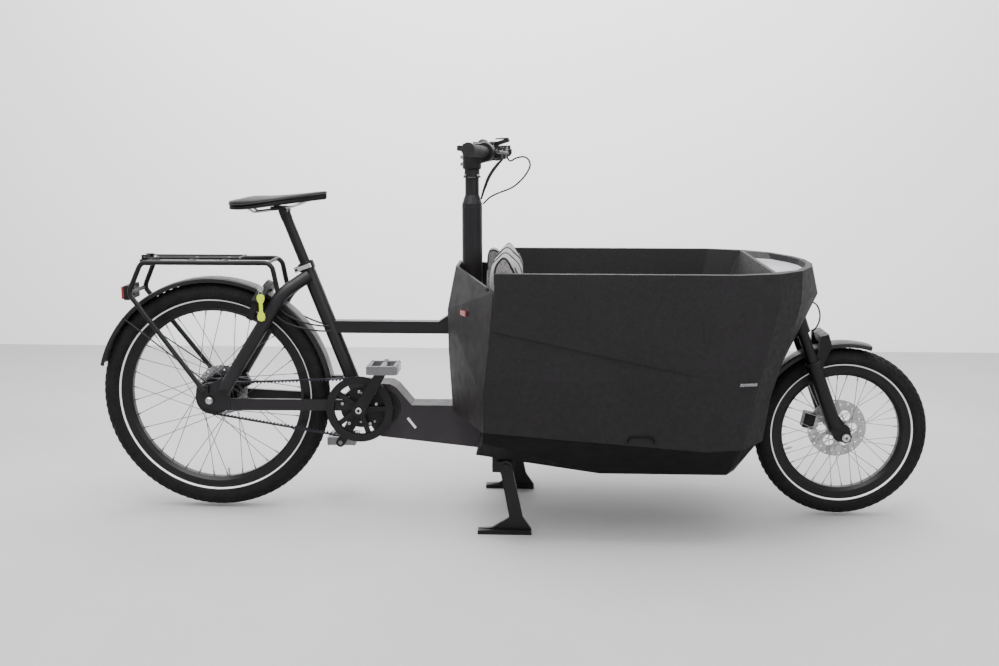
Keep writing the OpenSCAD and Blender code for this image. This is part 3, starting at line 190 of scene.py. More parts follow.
class Shader:
    """A material's node tree, built a node at a time."""

    def __init__(self, name, rough=0.5, metal=0.0, specular=0.5, coat=0.0):
        self.mat = bpy.data.materials.new(name)
        self.mat.use_nodes = True
        self.tree = self.mat.node_tree
        self.tree.nodes.clear()
        self.out = self.add("ShaderNodeOutputMaterial")
        self.body = self.add("ShaderNodeBsdfPrincipled")
        self.link(self.body, "BSDF", self.out, "Surface")
        self.body.inputs["Roughness"].default_value = rough
        self.body.inputs["Metallic"].default_value = metal
        self.body.inputs["Specular IOR Level"].default_value = specular
        if coat:
            self.body.inputs["Coat Weight"].default_value = coat
            self.body.inputs["Coat Roughness"].default_value = 0.25
        self.where = self.add("ShaderNodeTexCoord")

    def add(self, kind, **inputs):
        node = self.tree.nodes.new(kind)
        for key, value in inputs.items():
            node.inputs[key.replace("_", " ")].default_value = value
        return node

    def link(self, a, out, b, into):
        self.tree.links.new(a.outputs[out], b.inputs[into])

    def placed(self, stretch=(1, 1, 1), turn=(0, 0, 0)):
        """Object coordinates, stretched and turned."""
        node = self.add("ShaderNodeMapping")
        node.inputs["Scale"].default_value = stretch
        node.inputs["Rotation"].default_value = turn
        self.link(self.where, "Object", node, "Vector")
        return node

    def noise(self, scale, detail=3.0, at=None, rough=0.55):
        node = self.add("ShaderNodeTexNoise", Scale=scale, Detail=detail, Roughness=rough)
        self.link(at or self.where, "Vector" if at else "Object", node, "Vector")
        return node

    def cells(self, scale, feature="F1", at=None):
        node = self.add("ShaderNodeTexVoronoi", Scale=scale)
        node.feature = feature
        self.link(at or self.where, "Vector" if at else "Object", node, "Vector")
        return node

    def ramp(self, source, out, stops):
        node = self.add("ShaderNodeValToRGB")
        self.link(source, out, node, "Fac")
        while len(node.color_ramp.elements) < len(stops):
            node.color_ramp.elements.new(0.5)
        for element, (place, value) in zip(node.color_ramp.elements, stops):
            element.position = place
            element.color = (*value, 1) if hasattr(value, "__len__") else (value,) * 3 + (1,)
        return node

    def tint(self, source, out, color, dark, light, low=0.3, high=0.7):
        """The base colour, drifting between a darker and a lighter shade."""
        ramp = self.ramp(source, out,
                         [(low, [c * dark for c in color]), (high, [min(1, c * light) for c in color])])
        self.link(ramp, "Color", self.body, "Base Color")
        return ramp

    def gloss(self, source, out, low, high, a=0.3, b=0.7):
        ramp = self.ramp(source, out, [(a, low), (b, high)])
        self.link(ramp, "Color", self.body, "Roughness")

    def bump(self, source, out, strength, depth, before=None):
        node = self.add("ShaderNodeBump", Strength=strength, Distance=depth)
        self.link(source, out, node, "Height")
        if before:
            self.link(before, "Normal", node, "Normal")
        self.link(node, "Normal", self.body, "Normal")
        return node


def powder_coat(name, color, rough=0.42, metal=0.12):
    """Satin powder coat with a faint orange peel and dusty patches."""
    s = Shader(name, metal=metal, specular=0.3)
    drift = s.noise(5.5, 5)
    s.tint(drift, "Fac", color, 0.8, 1.3)
    s.gloss(s.noise(38, 4), "Fac", rough - 0.06, rough + 0.1)
    peel = s.bump(s.noise(900, 2), "Fac", 0.12, 0.0004)
    s.bump(s.noise(5200, 1), "Fac", 0.08, 0.0001, peel)
    return s.mat


def moulded(name, color, rough=0.55, grain=1500, depth=0.00025, specular=0.22):
    """Moulded plastic with a fine etched grain."""
    s = Shader(name, specular=specular)
    s.tint(s.noise(7, 6), "Fac", color, 0.82, 1.3)
    s.gloss(s.noise(26, 5), "Fac", rough - 0.07, rough + 0.08)
    etched = s.bump(s.cells(grain, "SMOOTH_F1"), "Distance", 0.3, depth)
    s.bump(s.noise(grain * 0.3, 3), "Fac", 0.1, depth, etched)
    return s.mat


def bead_foam(name, color):
    """Pressed bead foam: flat cells about 5 mm wide with fine seams between them."""
    s = Shader(name, specular=0.24)
    cell = s.cells(210)
    patch = s.noise(2.6, 6)
    mix = s.add("ShaderNodeMix")
    mix.data_type = "RGBA"
    mix.inputs["Factor"].default_value = 0.35
    a = s.ramp(patch, "Fac", [(0.32, [c * 0.8 for c in color]), (0.7, [c * 1.35 for c in color])])
    b = s.ramp(cell, "Color", [(0.0, [c * 0.6 for c in color]), (1.0, [c * 1.7 for c in color])])
    s.link(a, "Color", mix, 6)
    s.link(b, "Color", mix, 7)
    s.link(mix, 2, s.body, "Base Color")
    s.gloss(s.noise(60, 5), "Fac", 0.56, 0.72)
    seams = s.bump(s.cells(210, "DISTANCE_TO_EDGE"), "Distance", 0.25, 0.0016)
    s.bump(s.noise(1400, 3), "Fac", 0.14, 0.0004, seams)
    return s.mat


def rubber(name, color=(0.012, 0.012, 0.0125), rough=0.68, grain=700):
    """Matt rubber with dust in its grain."""
    s = Shader(name, specular=0.2)
    s.tint(s.noise(30, 6), "Fac", color, 0.75, 1.6)
    s.gloss(s.noise(90, 4), "Fac", rough - 0.1, rough + 0.08)
    s.bump(s.noise(grain, 4), "Fac", 0.25, 0.0004)
    return s.mat


def brushed(name, color, rough=0.32, stretch=(900, 900, 60)):
    """Bare metal with fine drawn lines."""
    s = Shader(name, metal=1.0)
    lines = s.noise(1, 4, s.placed(stretch))
    s.tint(lines, "Fac", color, 0.78, 1.12)
    s.gloss(lines, "Fac", rough - 0.08, rough + 0.14)
    s.bump(lines, "Fac", 0.12, 0.0001)
    return s.mat


def ground_disc(name, color, centre):
    """Brake disc: ground rings round its centre, across the braking track and the arms alike."""
    s = Shader(name, metal=1.0)
    away = s.add("ShaderNodeVectorMath")
    away.operation = "DISTANCE"
    away.inputs[1].default_value = centre
    s.link(s.where, "Object", away, 0)
    rings = s.add("ShaderNodeTexWave", Scale=420, Distortion=0.6, Detail=2)
    rings.wave_type = "BANDS"
    put = s.add("ShaderNodeCombineXYZ")
    s.link(away, "Value", put, "X")
    s.link(put, "Vector", rings, "Vector")
    s.tint(rings, "Fac", color, 0.8, 1.1)
    s.gloss(rings, "Fac", 0.2, 0.36)
    s.bump(rings, "Fac", 0.1, 0.0001)
    return s.mat


def woven(name, light, dark, pitch=620, melange=340):
    """Melange weave: light and dark yarns that cross, with a soft sheen."""
    s = Shader(name, rough=0.92, specular=0.2)
    s.body.inputs["Sheen Weight"].default_value = 0.25
    yarn = s.noise(1, 3, s.placed((melange, melange, melange * 0.3)))
    other = s.noise(1, 3, s.placed((melange, melange * 0.3, melange)))
    mix = s.add("ShaderNodeMix")
    mix.data_type = "RGBA"
    a = s.ramp(yarn, "Fac", [(0.4, dark), (0.6, light)])
    b = s.ramp(other, "Fac", [(0.36, dark), (0.56, light)])
    over = s.add("ShaderNodeTexChecker", Scale=pitch)
    s.link(s.where, "Object", over, "Vector")
    s.link(over, "Fac", mix, "Factor")
    s.link(a, "Color", mix, 6)
    s.link(b, "Color", mix, 7)
    s.link(mix, 2, s.body, "Base Color")
    up = s.add("ShaderNodeTexWave", Scale=pitch * 0.5)
    up.bands_direction = "Z"
    s.link(s.where, "Object", up, "Vector")
    across = s.add("ShaderNodeTexWave", Scale=pitch * 0.5)
    across.bands_direction = "Y"
    s.link(s.where, "Object", across, "Vector")
    first = s.bump(up, "Fac", 0.4, 0.0005)
    s.bump(across, "Fac", 0.4, 0.0005, first)
    return s.mat


def grained_skin(name, color):
    """Saddle skin: pebbled grain, worn smoother in patches."""
    s = Shader(name, specular=0.26)
    s.tint(s.noise(16, 5), "Fac", color, 0.75, 1.5)
    s.gloss(s.noise(22, 4), "Fac", 0.42, 0.6)
    grain = s.bump(s.cells(820, "SMOOTH_F1"), "Distance", 0.35, 0.0005)
    s.bump(s.noise(2600, 2), "Fac", 0.1, 0.0002, grain)
    return s.mat


def prism_lens(name, color, rough=0.12):
    """Reflector or lamp lens with a grid of small prisms behind its face."""
    s = Shader(name, rough=rough, specular=0.6, coat=0.7)
    prism = s.cells(520, "F1", s.placed((1, 1, 1), (0.6, 0.4, 0.785)))
    s.tint(prism, "Distance", color, 1.5, 0.35, 0.1, 0.6)
    s.bump(prism, "Distance", 0.6, 0.001)
    return s.mat


def bright_stripe(name):
    """Reflecting tyre stripe of tiny glass beads."""
    s = Shader(name, rough=0.4, specular=0.6)
    s.tint(s.noise(900, 3), "Fac", (0.86, 0.86, 0.85), 0.86, 1.1)
    s.bump(s.noise(2400, 2), "Fac", 0.2, 0.0002)
    return s.mat


MADE = {}


def finish(name):
    """The named finish, made once."""
    if name in MADE:
        return MADE[name]
    c = bpy.context.scene.bike_finish
    recipes = {
        "frame_powder": lambda: powder_coat("frame_powder", c.frame_paint, 0.36),
        "beam_powder": lambda: powder_coat("beam_powder", c.beam_paint, 0.44),
        "black_coat": lambda: powder_coat("black_coat", (0.0045, 0.0042, 0.0045), 0.4),
        "rim_coat": lambda: powder_coat("rim_coat", (0.004, 0.0038, 0.004), 0.32),
        "cast_case": lambda: moulded("cast_case", (0.009, 0.0085, 0.009), 0.5, 900, 0.0004),
        "box_foam": lambda: bead_foam("box_foam", c.box_foam),
        "tray_plastic": lambda: moulded("tray_plastic", c.tray_plastic, 0.58, 1000, 0.0004, 0.14),
        "cover_plastic": lambda: moulded("cover_plastic", c.cover_plastic, 0.5, 1300),
        "ledge_plastic": lambda: moulded("ledge_plastic", (0.2, 0.2, 0.21), 0.6),
        "board": lambda: moulded("board", (0.014, 0.014, 0.0145), 0.62, 700),
        "black_plastic": lambda: moulded("black_plastic", (0.005, 0.0048, 0.005), 0.48),
        "fender_plastic": lambda: moulded("fender_plastic", (0.0062, 0.0058, 0.0062), 0.4, 1800, 0.0001,
                                          0.34),
        "pad_weave": lambda: woven("pad_weave", c.pad_fabric, [x * 0.3 for x in c.pad_fabric]),
        "webbing": lambda: woven("webbing", (0.03, 0.03, 0.031), (0.008, 0.008, 0.009), 900, 700),
        "piping": lambda: rubber("piping", (0.012, 0.012, 0.013), 0.6, 1800),
        "tyre_rubber": lambda: rubber("tyre_rubber", (0.0045, 0.0042, 0.0044), 0.74, 520),
        "belt_rubber": lambda: rubber("belt_rubber", (0.012, 0.012, 0.016), 0.5, 900),
        "hose_rubber": lambda: rubber("hose_rubber", (0.008, 0.008, 0.0085), 0.42, 2200),
        "grip_rubber": lambda: rubber("grip_rubber", (0.011, 0.011, 0.0115), 0.62, 1300),
        "stripe": lambda: bright_stripe("stripe"),
        "steel": lambda: brushed("steel", (0.52, 0.52, 0.53)),
        "alloy": lambda: brushed("alloy", (0.62, 0.62, 0.63), 0.36, (500, 80, 500)),
        "lever_coat": lambda: powder_coat("lever_coat", (0.03, 0.03, 0.032), 0.34, 0.6),
        "pedal_alloy": lambda: brushed("pedal_alloy", (0.2, 0.2, 0.205), 0.38, (500, 80, 500)),
        "spoke_black": lambda: brushed("spoke_black", (0.11, 0.11, 0.115), 0.3),
        "spoke_steel": lambda: brushed("spoke_steel", (0.36, 0.36, 0.37), 0.26),
        "front_track": lambda: ground_disc("front_track", (0.46, 0.45, 0.45), (FRONT.x, 0.038, FRONT.z)),
        "rear_track": lambda: ground_disc("rear_track", (0.4, 0.4, 0.4), (REAR.x, 0.059, REAR.z)),
        "saddle_skin": lambda: grained_skin("saddle_skin", (0.0052, 0.005, 0.0056)),
        "saddle_side": lambda: grained_skin("saddle_side", (0.03, 0.027, 0.028)),
        "red_lens": lambda: prism_lens("red_lens", c.reflector_red),
        "lamp_lens": lambda: prism_lens("lamp_lens", (0.3, 0.006, 0.008)),
        "grey_lens": lambda: prism_lens("grey_lens", (0.24, 0.24, 0.25)),
        "anodised_red": lambda: brushed("anodised_red", (0.42, 0.03, 0.035)),
        "key_tag": lambda: woven("key_tag", c.key_tag, [x * 0.7 for x in c.key_tag], 700, 500),
        "blank_label": lambda: moulded("blank_label", (0.62, 0.62, 0.62), 0.4, 2500, 0.00005),
        "glass_black": lambda: moulded("glass_black", (0.006, 0.006, 0.007), 0.14, 3000, 0.00002, 0.6),
    }
    MADE[name] = recipes[name]()
    return MADE[name]


def dress(node, name, bevel=0.0):
    """Gives a CAD node its finish, and a soft edge where the real one is rounded."""
    o = NODES[node]
    o.data.materials.clear()
    o.data.materials.append(finish(name))
    if bevel:
        m = o.modifiers.new("soft_edge", "BEVEL")
        m.width = bevel
        m.segments = 2
        m.limit_method = "ANGLE"
        m.angle_limit = math.radians(32)
        m.harden_normals = False
    return o


def split_finish(node, name, inside):
    """A second finish for the faces of a CAD node whose middle lies inside."""
    o = NODES[node]
    o.data.materials.append(finish(name))
    last = len(o.data.materials) - 1
    for face in o.data.polygons:
        if inside(face.center):
            face.material_index = last


# ---------------------------------------------------------------- shapes


class Form:
    """Points and faces of one piece, gathered part by part."""

    def __init__(self):
        self.points = []
        self.faces = []

    def add(self, points, faces):
        base = len(self.points)
        self.points += [Vector(p) for p in points]
        self.faces += [tuple(i + base for i in f) for f in faces]
        return self

    def block(self, low, high, turn=None, at=None):
        """A box between two corners, turned about a point."""
        p = [Vector((x, y, z)) for x in (low[0], high[0]) for y in (low[1], high[1])
             for z in (low[2], high[2])]
        if turn is not None:
            pivot = Vector(at) if at is not None else (Vector(low) + Vector(high)) / 2
            p = [pivot + turn @ (q - pivot) for q in p]
        return self.add(p,
                        [(0, 1, 3, 2), (4, 6, 7, 5), (0, 4, 5, 1), (2, 3, 7, 6), (0, 2, 6, 4), (1, 5, 7, 3)])

    def turned(self, profile, at, axis, n=48):
        """A profile of (radius, height) pairs, turned round an axis and closed at both ends."""
        at, axis = Vector(at), Vector(axis).normalized()
        u = axis.orthogonal().normalized()
        v = axis.cross(u)
        points, faces = [], []
        for r, h in profile:
            for k in range(n):
                a = 2 * math.pi * k / n
                points.append(at + axis * h + (u * math.cos(a) + v * math.sin(a)) * r)
        for j in range(len(profile) - 1):
            for k in range(n):
                a, b = j * n + k, j * n + (k + 1) % n
                faces.append((a, b, b + n, a + n))
        faces.append(tuple(range(n))[::-1])
        faces.append(tuple(range((len(profile) - 1) * n, len(profile) * n)))
        return self.add(points, faces)

    def tube(self, path, radius, n=12, closed=False, flat=1.0, up=None):
        """A round or flattened tube along a path."""
        path = [Vector(p) for p in path]
        count = len(path)
        points, faces = [], []
        side = Vector(up) if up is not None else None
        for i, p in enumerate(path):
            a = path[i - 1] if closed or i else p
            b = path[(i + 1) % count] if closed or i < count - 1 else p
            t = (b - a).normalized()
            if side is None:
                side = t.orthogonal()
            side = (side - t * side.dot(t)).normalized()
            other = t.cross(side)
            r = radius[i] if hasattr(radius, "__len__") else radius
            for k in range(n):
                w = 2 * math.pi * k / n
                points.append(p + side * math.cos(w) * r + other * math.sin(w) * r * flat)
        rings = count if closed else count - 1
        for j in range(rings):
            for k in range(n):
                a, b = j * n + k, j * n + (k + 1) % n
                c, d = ((j + 1) % count) * n + k, ((j + 1) % count) * n + (k + 1) % n
                faces.append((a, b, d, c))
        if not closed:
            faces.append(tuple(range(n))[::-1])
            faces.append(tuple(range((count - 1) * n, count * n)))
        return self.add(points, faces)

    def strap(self, path, across, width, thick):
        """A flat strap along a path; across is the direction of its width."""
        points, faces = [], []
        path, across = [Vector(p) for p in path], Vector(across).normalized()
        for i, p in enumerate(path):
            t = (path[min(i + 1, len(path) - 1)] - path[max(i - 1, 0)]).normalized()
            n = t.cross(across).normalized()
            for a, b in ((-1, -1), (1, -1), (1, 1), (-1, 1)):
                points.append(p + across * a * width / 2 + n * b * thick / 2)
        for j in range(len(path) - 1):
            for k in range(4):
                a, b = j * 4 + k, j * 4 + (k + 1) % 4
                faces.append((a, b, b + 4, a + 4))
        faces.append((3, 2, 1, 0))
        last = (len(path) - 1) * 4
        faces.append((last, last + 1, last + 2, last + 3))
        return self.add(points, faces)

    def prism(self, outline, y0, y1):
        """An outline in X and Z, drawn out between two values of Y."""
        n = len(outline)
        points = [(x, y, z) for y in (y0, y1) for x, z in outline]
        faces = [(k, (k + 1) % n, n + (k + 1) % n, n + k) for k in range(n)]
        faces += [tuple(range(n))[::-1], tuple(range(n, 2 * n))]
        return self.add(points, faces)

    def mirrored(self):
        """Adds the same part on the other side."""
        points = [(p.x, -p.y, p.z) for p in self.points]
        return self.add(points, [f[::-1] for f in self.faces])

    def make(self, name, look, body, smooth=True, bevel=0.0, subdivide=0, slot=None):
        mesh = bpy.data.meshes.new(name)
        mesh.from_pydata([tuple(p) for p in self.points], [], self.faces)
        mesh.materials.append(finish(look))
        mesh.update()
        o = bpy.data.objects.new(name, mesh)
        bpy.context.scene.collection.objects.link(o)
        settle(o, smooth, bevel, subdivide)
        if body:
            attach(o, body)
        return o


def settle(o, smooth=True, bevel=0.0, subdivide=0):
    """Consistent normals, soft edges and shading by angle."""
    work = bmesh.new()
    work.from_mesh(o.data)
    bmesh.ops.recalc_face_normals(work, faces=work.faces)
    work.to_mesh(o.data)
    work.free()
    if bevel:
        m = o.modifiers.new("soft_edge", "BEVEL")
        m.width, m.segments, m.limit_method = bevel, 3, "ANGLE"
        m.angle_limit = math.radians(35)
    if subdivide:
        m = o.modifiers.new("smooth", "SUBSURF")
        m.levels = m.render_levels = subdivide
    if smooth:
        for face in o.data.polygons:
            face.use_smooth = True
        for edge_pair in sharp_edges(o.data, math.radians(38)):
            o.data.edges[edge_pair].use_edge_sharp = True


def sharp_edges(mesh, limit):
    """Indices of the edges whose two faces meet at more than the limit."""
    found = {}
    for face in mesh.polygons:
        for key in face.edge_keys:
            found.setdefault(key, []).append(face.normal)
    return [e.index for e in mesh.edges
            if len(found.get(e.key, [])) == 2 and found[e.key][0].angle(found[e.key][1], 0) > limit]


def curve_through(points, step=0.006):
    """A smooth path through the points, about one step between its points."""
    p = [Vector(q) for q in points]
    p = [2 * p[0] - p[1]] + p + [2 * p[-1] - p[-2]]
    path = []
    for i in range(1, len(p) - 2):
        n = max(2, int((p[i + 1] - p[i]).length / step))
        for k in range(n):
            t = k / n
            path.append(0.5 * ((2 * p[i]) + (p[i + 1] - p[i - 1]) * t
                               + (2 * p[i - 1] - 5 * p[i] + 4 * p[i + 1] - p[i + 2]) * t * t
                               + (3 * p[i] - p[i - 1] - 3 * p[i + 1] + p[i + 2]) * t ** 3))
    path.append(p[-2])
    return path


def ring_path(centre, radius, y, n=96, start=0.0, end=2 * math.pi):
    """Points round a circle in the wheel's plane."""
    return [Vector((centre.x + radius * math.cos(start + (end - start) * k / n), y,
                    centre.z + radius * math.sin(start + (end - start) * k / n))) for k in range(n)]


def screw_head(form, at, axis, r=0.005, h=0.004):
    """A socket screw head with its six-sided recess."""
    at, axis = Vector(at), Vector(axis).normalized()
    form.turned([(r, 0), (r, h * 0.75), (r * 0.86, h), (r * 0.55, h)], at, axis, 24)
    form.turned([(r * 0.55, h), (r * 0.55, h * 0.35), (r * 0.02, h * 0.3)], at, axis, 6)


# ---------------------------------------------------------------- operators


class BIKE_OT_stage(Operator):
    """Camera, plain floor, backdrop and soft studio light"""

    bl_idname = "bike.stage"
    bl_label = "Stage"

    def execute(self, context):
        s = context.scene.bike_stage
        data = bpy.data.cameras.new("view")
        data.lens, data.sensor_width = s.lens, 36
        data.clip_end = 60
        cam = bpy.data.objects.new("view", data)
        cam.location = (0.1258, -3.4251, 1.193)
        cam.rotation_euler = (math.radians(79.593), 0, math.radians(2.613))
        context.scene.collection.objects.link(cam)
        context.scene.camera = cam

        floor = Shader("floor_paint", rough=0.62, specular=0.3)
        floor.tint(floor.noise(1.3, 6), "Fac", s.floor_color, 0.95, 1.05)
        wall = Shader("wall_paint", rough=0.9, specular=0.1)
        wall.tint(wall.noise(0.6, 3), "Fac", (0.9, 0.9, 0.905), 0.99, 1.01)
        for name, look, corners in (
            ("floor", floor.mat, [(-9, -9, 0), (9, -9, 0), (9, 2.6, 0), (-9, 2.6, 0)]),
            ("backdrop", wall.mat, [(-9, 2.6, 0), (9, 2.6, 0), (9, 2.6, 6), (-9, 2.6, 6)]),
        ):
            mesh = bpy.data.meshes.new(name)
            mesh.from_pydata(corners, [], [(0, 1, 2, 3)])
            mesh.materials.append(look)
            o = bpy.data.objects.new(name, mesh)
            context.scene.collection.objects.link(o)

        world = bpy.data.worlds.new("studio")
        world.use_nodes = True
        world.node_tree.nodes["Background"].inputs["Color"].default_value = (0.97, 0.98, 1, 1)
        world.node_tree.nodes["Background"].inputs["Strength"].default_value = s.sky
        context.scene.world = world
        for name, at, aim, size, power in (
            ("key", (-0.6, -1.2, 3.6), (0, 0, 0.3), 3.4, s.key),
            ("fill", (2.9, -3.4, 2.2), (0.2, 0, 0.5), 2.2, s.key * 0.25),
            ("wall_wash", (0, 1.0, 4.4), (0, 2.6, 1.4), 4.5, s.key * 2.6),
        ):
            lamp = bpy.data.lights.new(name, "AREA")
            lamp.size, lamp.energy = size, power
            o = bpy.data.objects.new(name, lamp)
            o.location = at
            o.rotation_euler = (Vector(aim) - Vector(at)).to_track_quat("-Z", "Y").to_euler()
            context.scene.collection.objects.link(o)
        return {"FINISHED"}


class BIKE_OT_frame_finish(Operator):
    """Powder coat, cast and bare metal finishes of the CAD nodes"""

    bl_idname = "bike.frame_finish"
    bl_label = "Frame finishes"

    def execute(self, context):
        for node in ("seat_tube", "top_tube", "seat_stays", "chain_stays", "column_tube",
                     "fork_mast", "steerer"):
            dress(node, "frame_powder", 0.0006)
        dress("main_beam", "beam_powder", 0.003)
        for node in ("stand_mount", "rack", "rack_clip", "rear_caliper", "seat_collar", "stem",
                     "handlebar", "fork_crown", "fork_lowers", "front_caliper", "crank_set",
                     "rear_pulley", "front_pulley", "stand_legs", "seat_post"):
            dress(node, "black_coat", 0.0008)
        dress("motor_unit", "cast_case", 0.002)
        dress("rear_axle", "steel", 0.0004)
        dress("front_axle", "steel", 0.0004)
        dress("seat_lever", "alloy", 0.0006)
        dress("belt", "belt_rubber")
        dress("ring_lock", "black_plastic", 0.0015)
        dress("tail_lamp", "black_plastic", 0.001)
        split_finish("tail_lamp", "lamp_lens", lambda p: p.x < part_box("tail_lamp")[0].x + 0.0085)
        for node in ("front_rim", "rear_rim"):
            dress(node, "rim_coat")
        for node in ("front_hub", "rear_hub"):
            dress(node, "rim_coat", 0.0008)
        dress("front_spokes", "spoke_steel")
        dress("rear_spokes", "spoke_black")
        dress("front_disc", "front_track")
        dress("rear_disc", "rear_track")
        for node in ("front_tyre", "rear_tyre"):
            dress(node, "tyre_rubber")
        for node in ("front_fender", "rear_fender"):
            dress(node, "fender_plastic")
        for node in ("pedal_right", "pedal_left"):
            dress(node, "black_plastic", 0.0008)
        dress("grips", "grip_rubber", 0.001)
        dress("bar_controls", "black_plastic", 0.0012)
        for node in ("brake_lever_right", "brake_lever_left"):
            dress(node, "lever_coat", 0.0008)
        dress("steering_cables", "hose_rubber")
        return {"FINISHED"}


class BIKE_OT_box_finish(Operator):
    """Foam, plastic and board finishes of the box"""

    bl_idname = "bike.box_finish"
    bl_label = "Box finishes"

    def execute(self, context):
        dress("box_shell", "box_foam", 0.003)
        dress("box_tray", "tray_plastic", 0.003)
        dress("rear_cover", "cover_plastic", 0.002)
        dress("front_ledge", "ledge_plastic", 0.001)
        dress("bench", "board", 0.002)
        dress("box_reflectors", "red_lens", 0.0004)
        split_finish("box_reflectors", "grey_lens", lambda p: p.x > 0)
        return {"FINISHED"}


class BIKE_OT_tyre_trim(Operator):
    """Reflecting stripes, tread blocks and valves"""

    bl_idname = "bike.tyre_trim"
    bl_label = "Tyre trim"

    def execute(self, context):
        w = context.scene.bike_wheels
        for name, hub, r, half, at, steps, body in (
            ("rear", REAR, REAR_R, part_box("rear_tyre")[1].y, 0.3010, w.rear_blocks, "rear_wheel"),
            ("front", FRONT, FRONT_R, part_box("front_tyre")[1].y, 0.2125, w.front_blocks, "front_wheel"),
        ):
            mid = r - half
            stripe = Form()
            for side in (-1, 1):
                rows = []
                for k in range(3):
                    rr = at + (k - 1) * w.stripe_width / 2
                    angle = math.acos((rr - mid) / half)
                    lift = half + 0.0004
                    rows.append([Vector((hub.x + (mid + lift * math.cos(angle)) * math.cos(a),
                                         side * lift * math.sin(angle),
                                         hub.z + (mid + lift * math.cos(angle)) * math.sin(a)))
                                 for a in [2 * math.pi * i / 160 for i in range(160)]])
                points = [p for row in rows for p in row]
                faces = [(j * 160 + i, j * 160 + (i + 1) % 160, (j + 1) * 160 + (i + 1) % 160,
                          (j + 1) * 160 + i)
                         for j in range(2) for i in range(160)]
                stripe.add(points, faces)
            stripe.make(name + "_stripe", "stripe", body)

            tread = Form()
            pitch = 2 * math.pi / steps
            for i in range(steps):
                for row, (turn, wide, long) in enumerate((
                        (-58, 0.008, 0.5), (-30, 0.010, 0.62), (0, 0.011, 0.7),
                        (30, 0.010, 0.62), (58, 0.008, 0.5))):
                    a = (i + (0.5 if row % 2 else 0)) * pitch
                    theta = math.radians(turn)
                    out = Vector((math.cos(a), 0, math.sin(a)))
                    normal = out * math.cos(theta) + Vector((0, math.sin(theta), 0))
                    side = Vector((0, math.cos(theta), 0)) - out * math.sin(theta)
                    along = normal.cross(side)
                    c = Vector((hub.x, 0, hub.z)) + out * mid + normal * half
                    length = pitch * r * long / 2
                    points = []
                    for h in (-0.0012, w.block_height):
                        for s, t in ((-1, -1), (1, -1), (1, 1), (-1, 1)):
                            taper = 1 if h < 0 else 0.86
                            points.append(c + normal * h + side * s * wide / 2 * taper
                                          + along * t * length * taper + along * s * 0.0015)
                    tread.add(points, [(4, 5, 6, 7), (0, 1, 5, 4), (1, 2, 6, 5), (2, 3, 7, 6), (3, 0, 4, 7)])
            tread.make(name + "_tread", "tyre_rubber", body, smooth=False)

            ribs = Form()
            for side in (-1, 1):
                for rr in (at + 0.009, at + 0.0135):
                    angle = math.acos(max(-1, (rr - mid) / half))
                    ribs.tube(ring_path(hub, rr, side * half * math.sin(angle), 144), 0.0006, 6, closed=True)
            ribs.make(name + "_sidewall_ribs", "tyre_rubber", body)

            valve = Form()
            down = math.radians(-84 if name == "rear" else 200)
            out = Vector((math.cos(down), 0, math.sin(down)))
            foot = Vector((hub.x, 0, hub.z)) + out * (r - half * 2 - 0.026)
            valve.turned([(0.003, 0), (0.003, 0.026), (0.0042, 0.027), (0.0042, 0.036), (0.003, 0.038)],
                         foot + out * 0.012, -out, 20)
            valve.make(name + "_valve", "steel", body)
        return {"FINISHED"}


class BIKE_OT_seat_pads(Operator):
    """Backrest pads and seat cushions, blown up as cloth, with their piping"""

    bl_idname = "bike.seat_pads"
    bl_label = "Seat pads"

    def execute(self, context):
        p = context.scene.bike_pads
        source = NODES["seat_pads"].data.copy()
        o = bpy.data.objects.new("seat_pads_soft", source)
        context.scene.collection.objects.link(o)
        source.materials.clear()
        source.materials.append(finish("pad_weave"))
        m = o.modifiers.new("remesh", "REMESH")
        m.mode, m.voxel_size = "VOXEL", 0.0065
        bake(o)
        start = [v.co.copy() for v in o.data.vertices]
        for v, n in zip(o.data.vertices, [v.normal.copy() for v in o.data.vertices]):
            v.co = v.co - n * 0.004
        fill_as_cloth(context, o, start, p)
        m = o.modifiers.new("smooth", "CORRECTIVE_SMOOTH")
        m.factor, m.iterations, m.use_only_smooth = 0.5, 6, True
        bake(o)
        m = o.modifiers.new("finer", "SUBSURF")
        m.levels = m.render_levels = 1
        for face in o.data.polygons:
            face.use_smooth = True
        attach(o, "frame")
        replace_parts(o, "seat_pads")

        piping = Form()
        x = CORNER
        back = [(x + 0.062, 0.562), (x + 0.0625, 0.77), (x + 0.051, 0.801), (x + 0.04, 0.825),
                (x + 0.028, 0.8375), (x + 0.016, 0.8365), (x + 0.003, 0.822), (x - 0.009, 0.80),
                (x - 0.012, 0.75)]
        for i in range(3):
            for y in (-0.288 + i * 0.1414 + 0.0022, -0.288 + i * 0.1414 + 0.1388):
                piping.tube(laid_on(o, [(a, y, b) for a, b in back]), p.piping, 10)
        far = [(x - 0.002, 0.562), (x + 0.002, 0.77), (x - 0.012, 0.80), (x - 0.026, 0.8125),
               (x - 0.044, 0.8085), (x - 0.053, 0.79), (x - 0.051, 0.74)]
        for y in (0.1384, 0.2028):
            piping.tube(laid_on(o, [(a, y, b) for a, b in far]), p.piping, 10)
        piping.make("pad_piping", "piping", "frame", slot="pad_fabric")

        seams = Form()
        for y in (-0.281, 0.005):
            for z in (0.5385, 0.5035):
                loop = [(x + 0.026, y, z), (x + 0.284, y, z), (x + 0.284, y + 0.276, z),
                        (x + 0.026, y + 0.276, z)]
                around = [Vector(loop[k]).lerp(Vector(loop[(k + 1) % 4]), t / 12)
                          for k in range(4) for t in range(12)]
                seams.tube([o.closest_point_on_mesh(q)[1] for q in around], 0.0024, 8, closed=True)
        seams.make("cushion_piping", "piping", "frame", slot="pad_fabric")
        return {"FINISHED"}


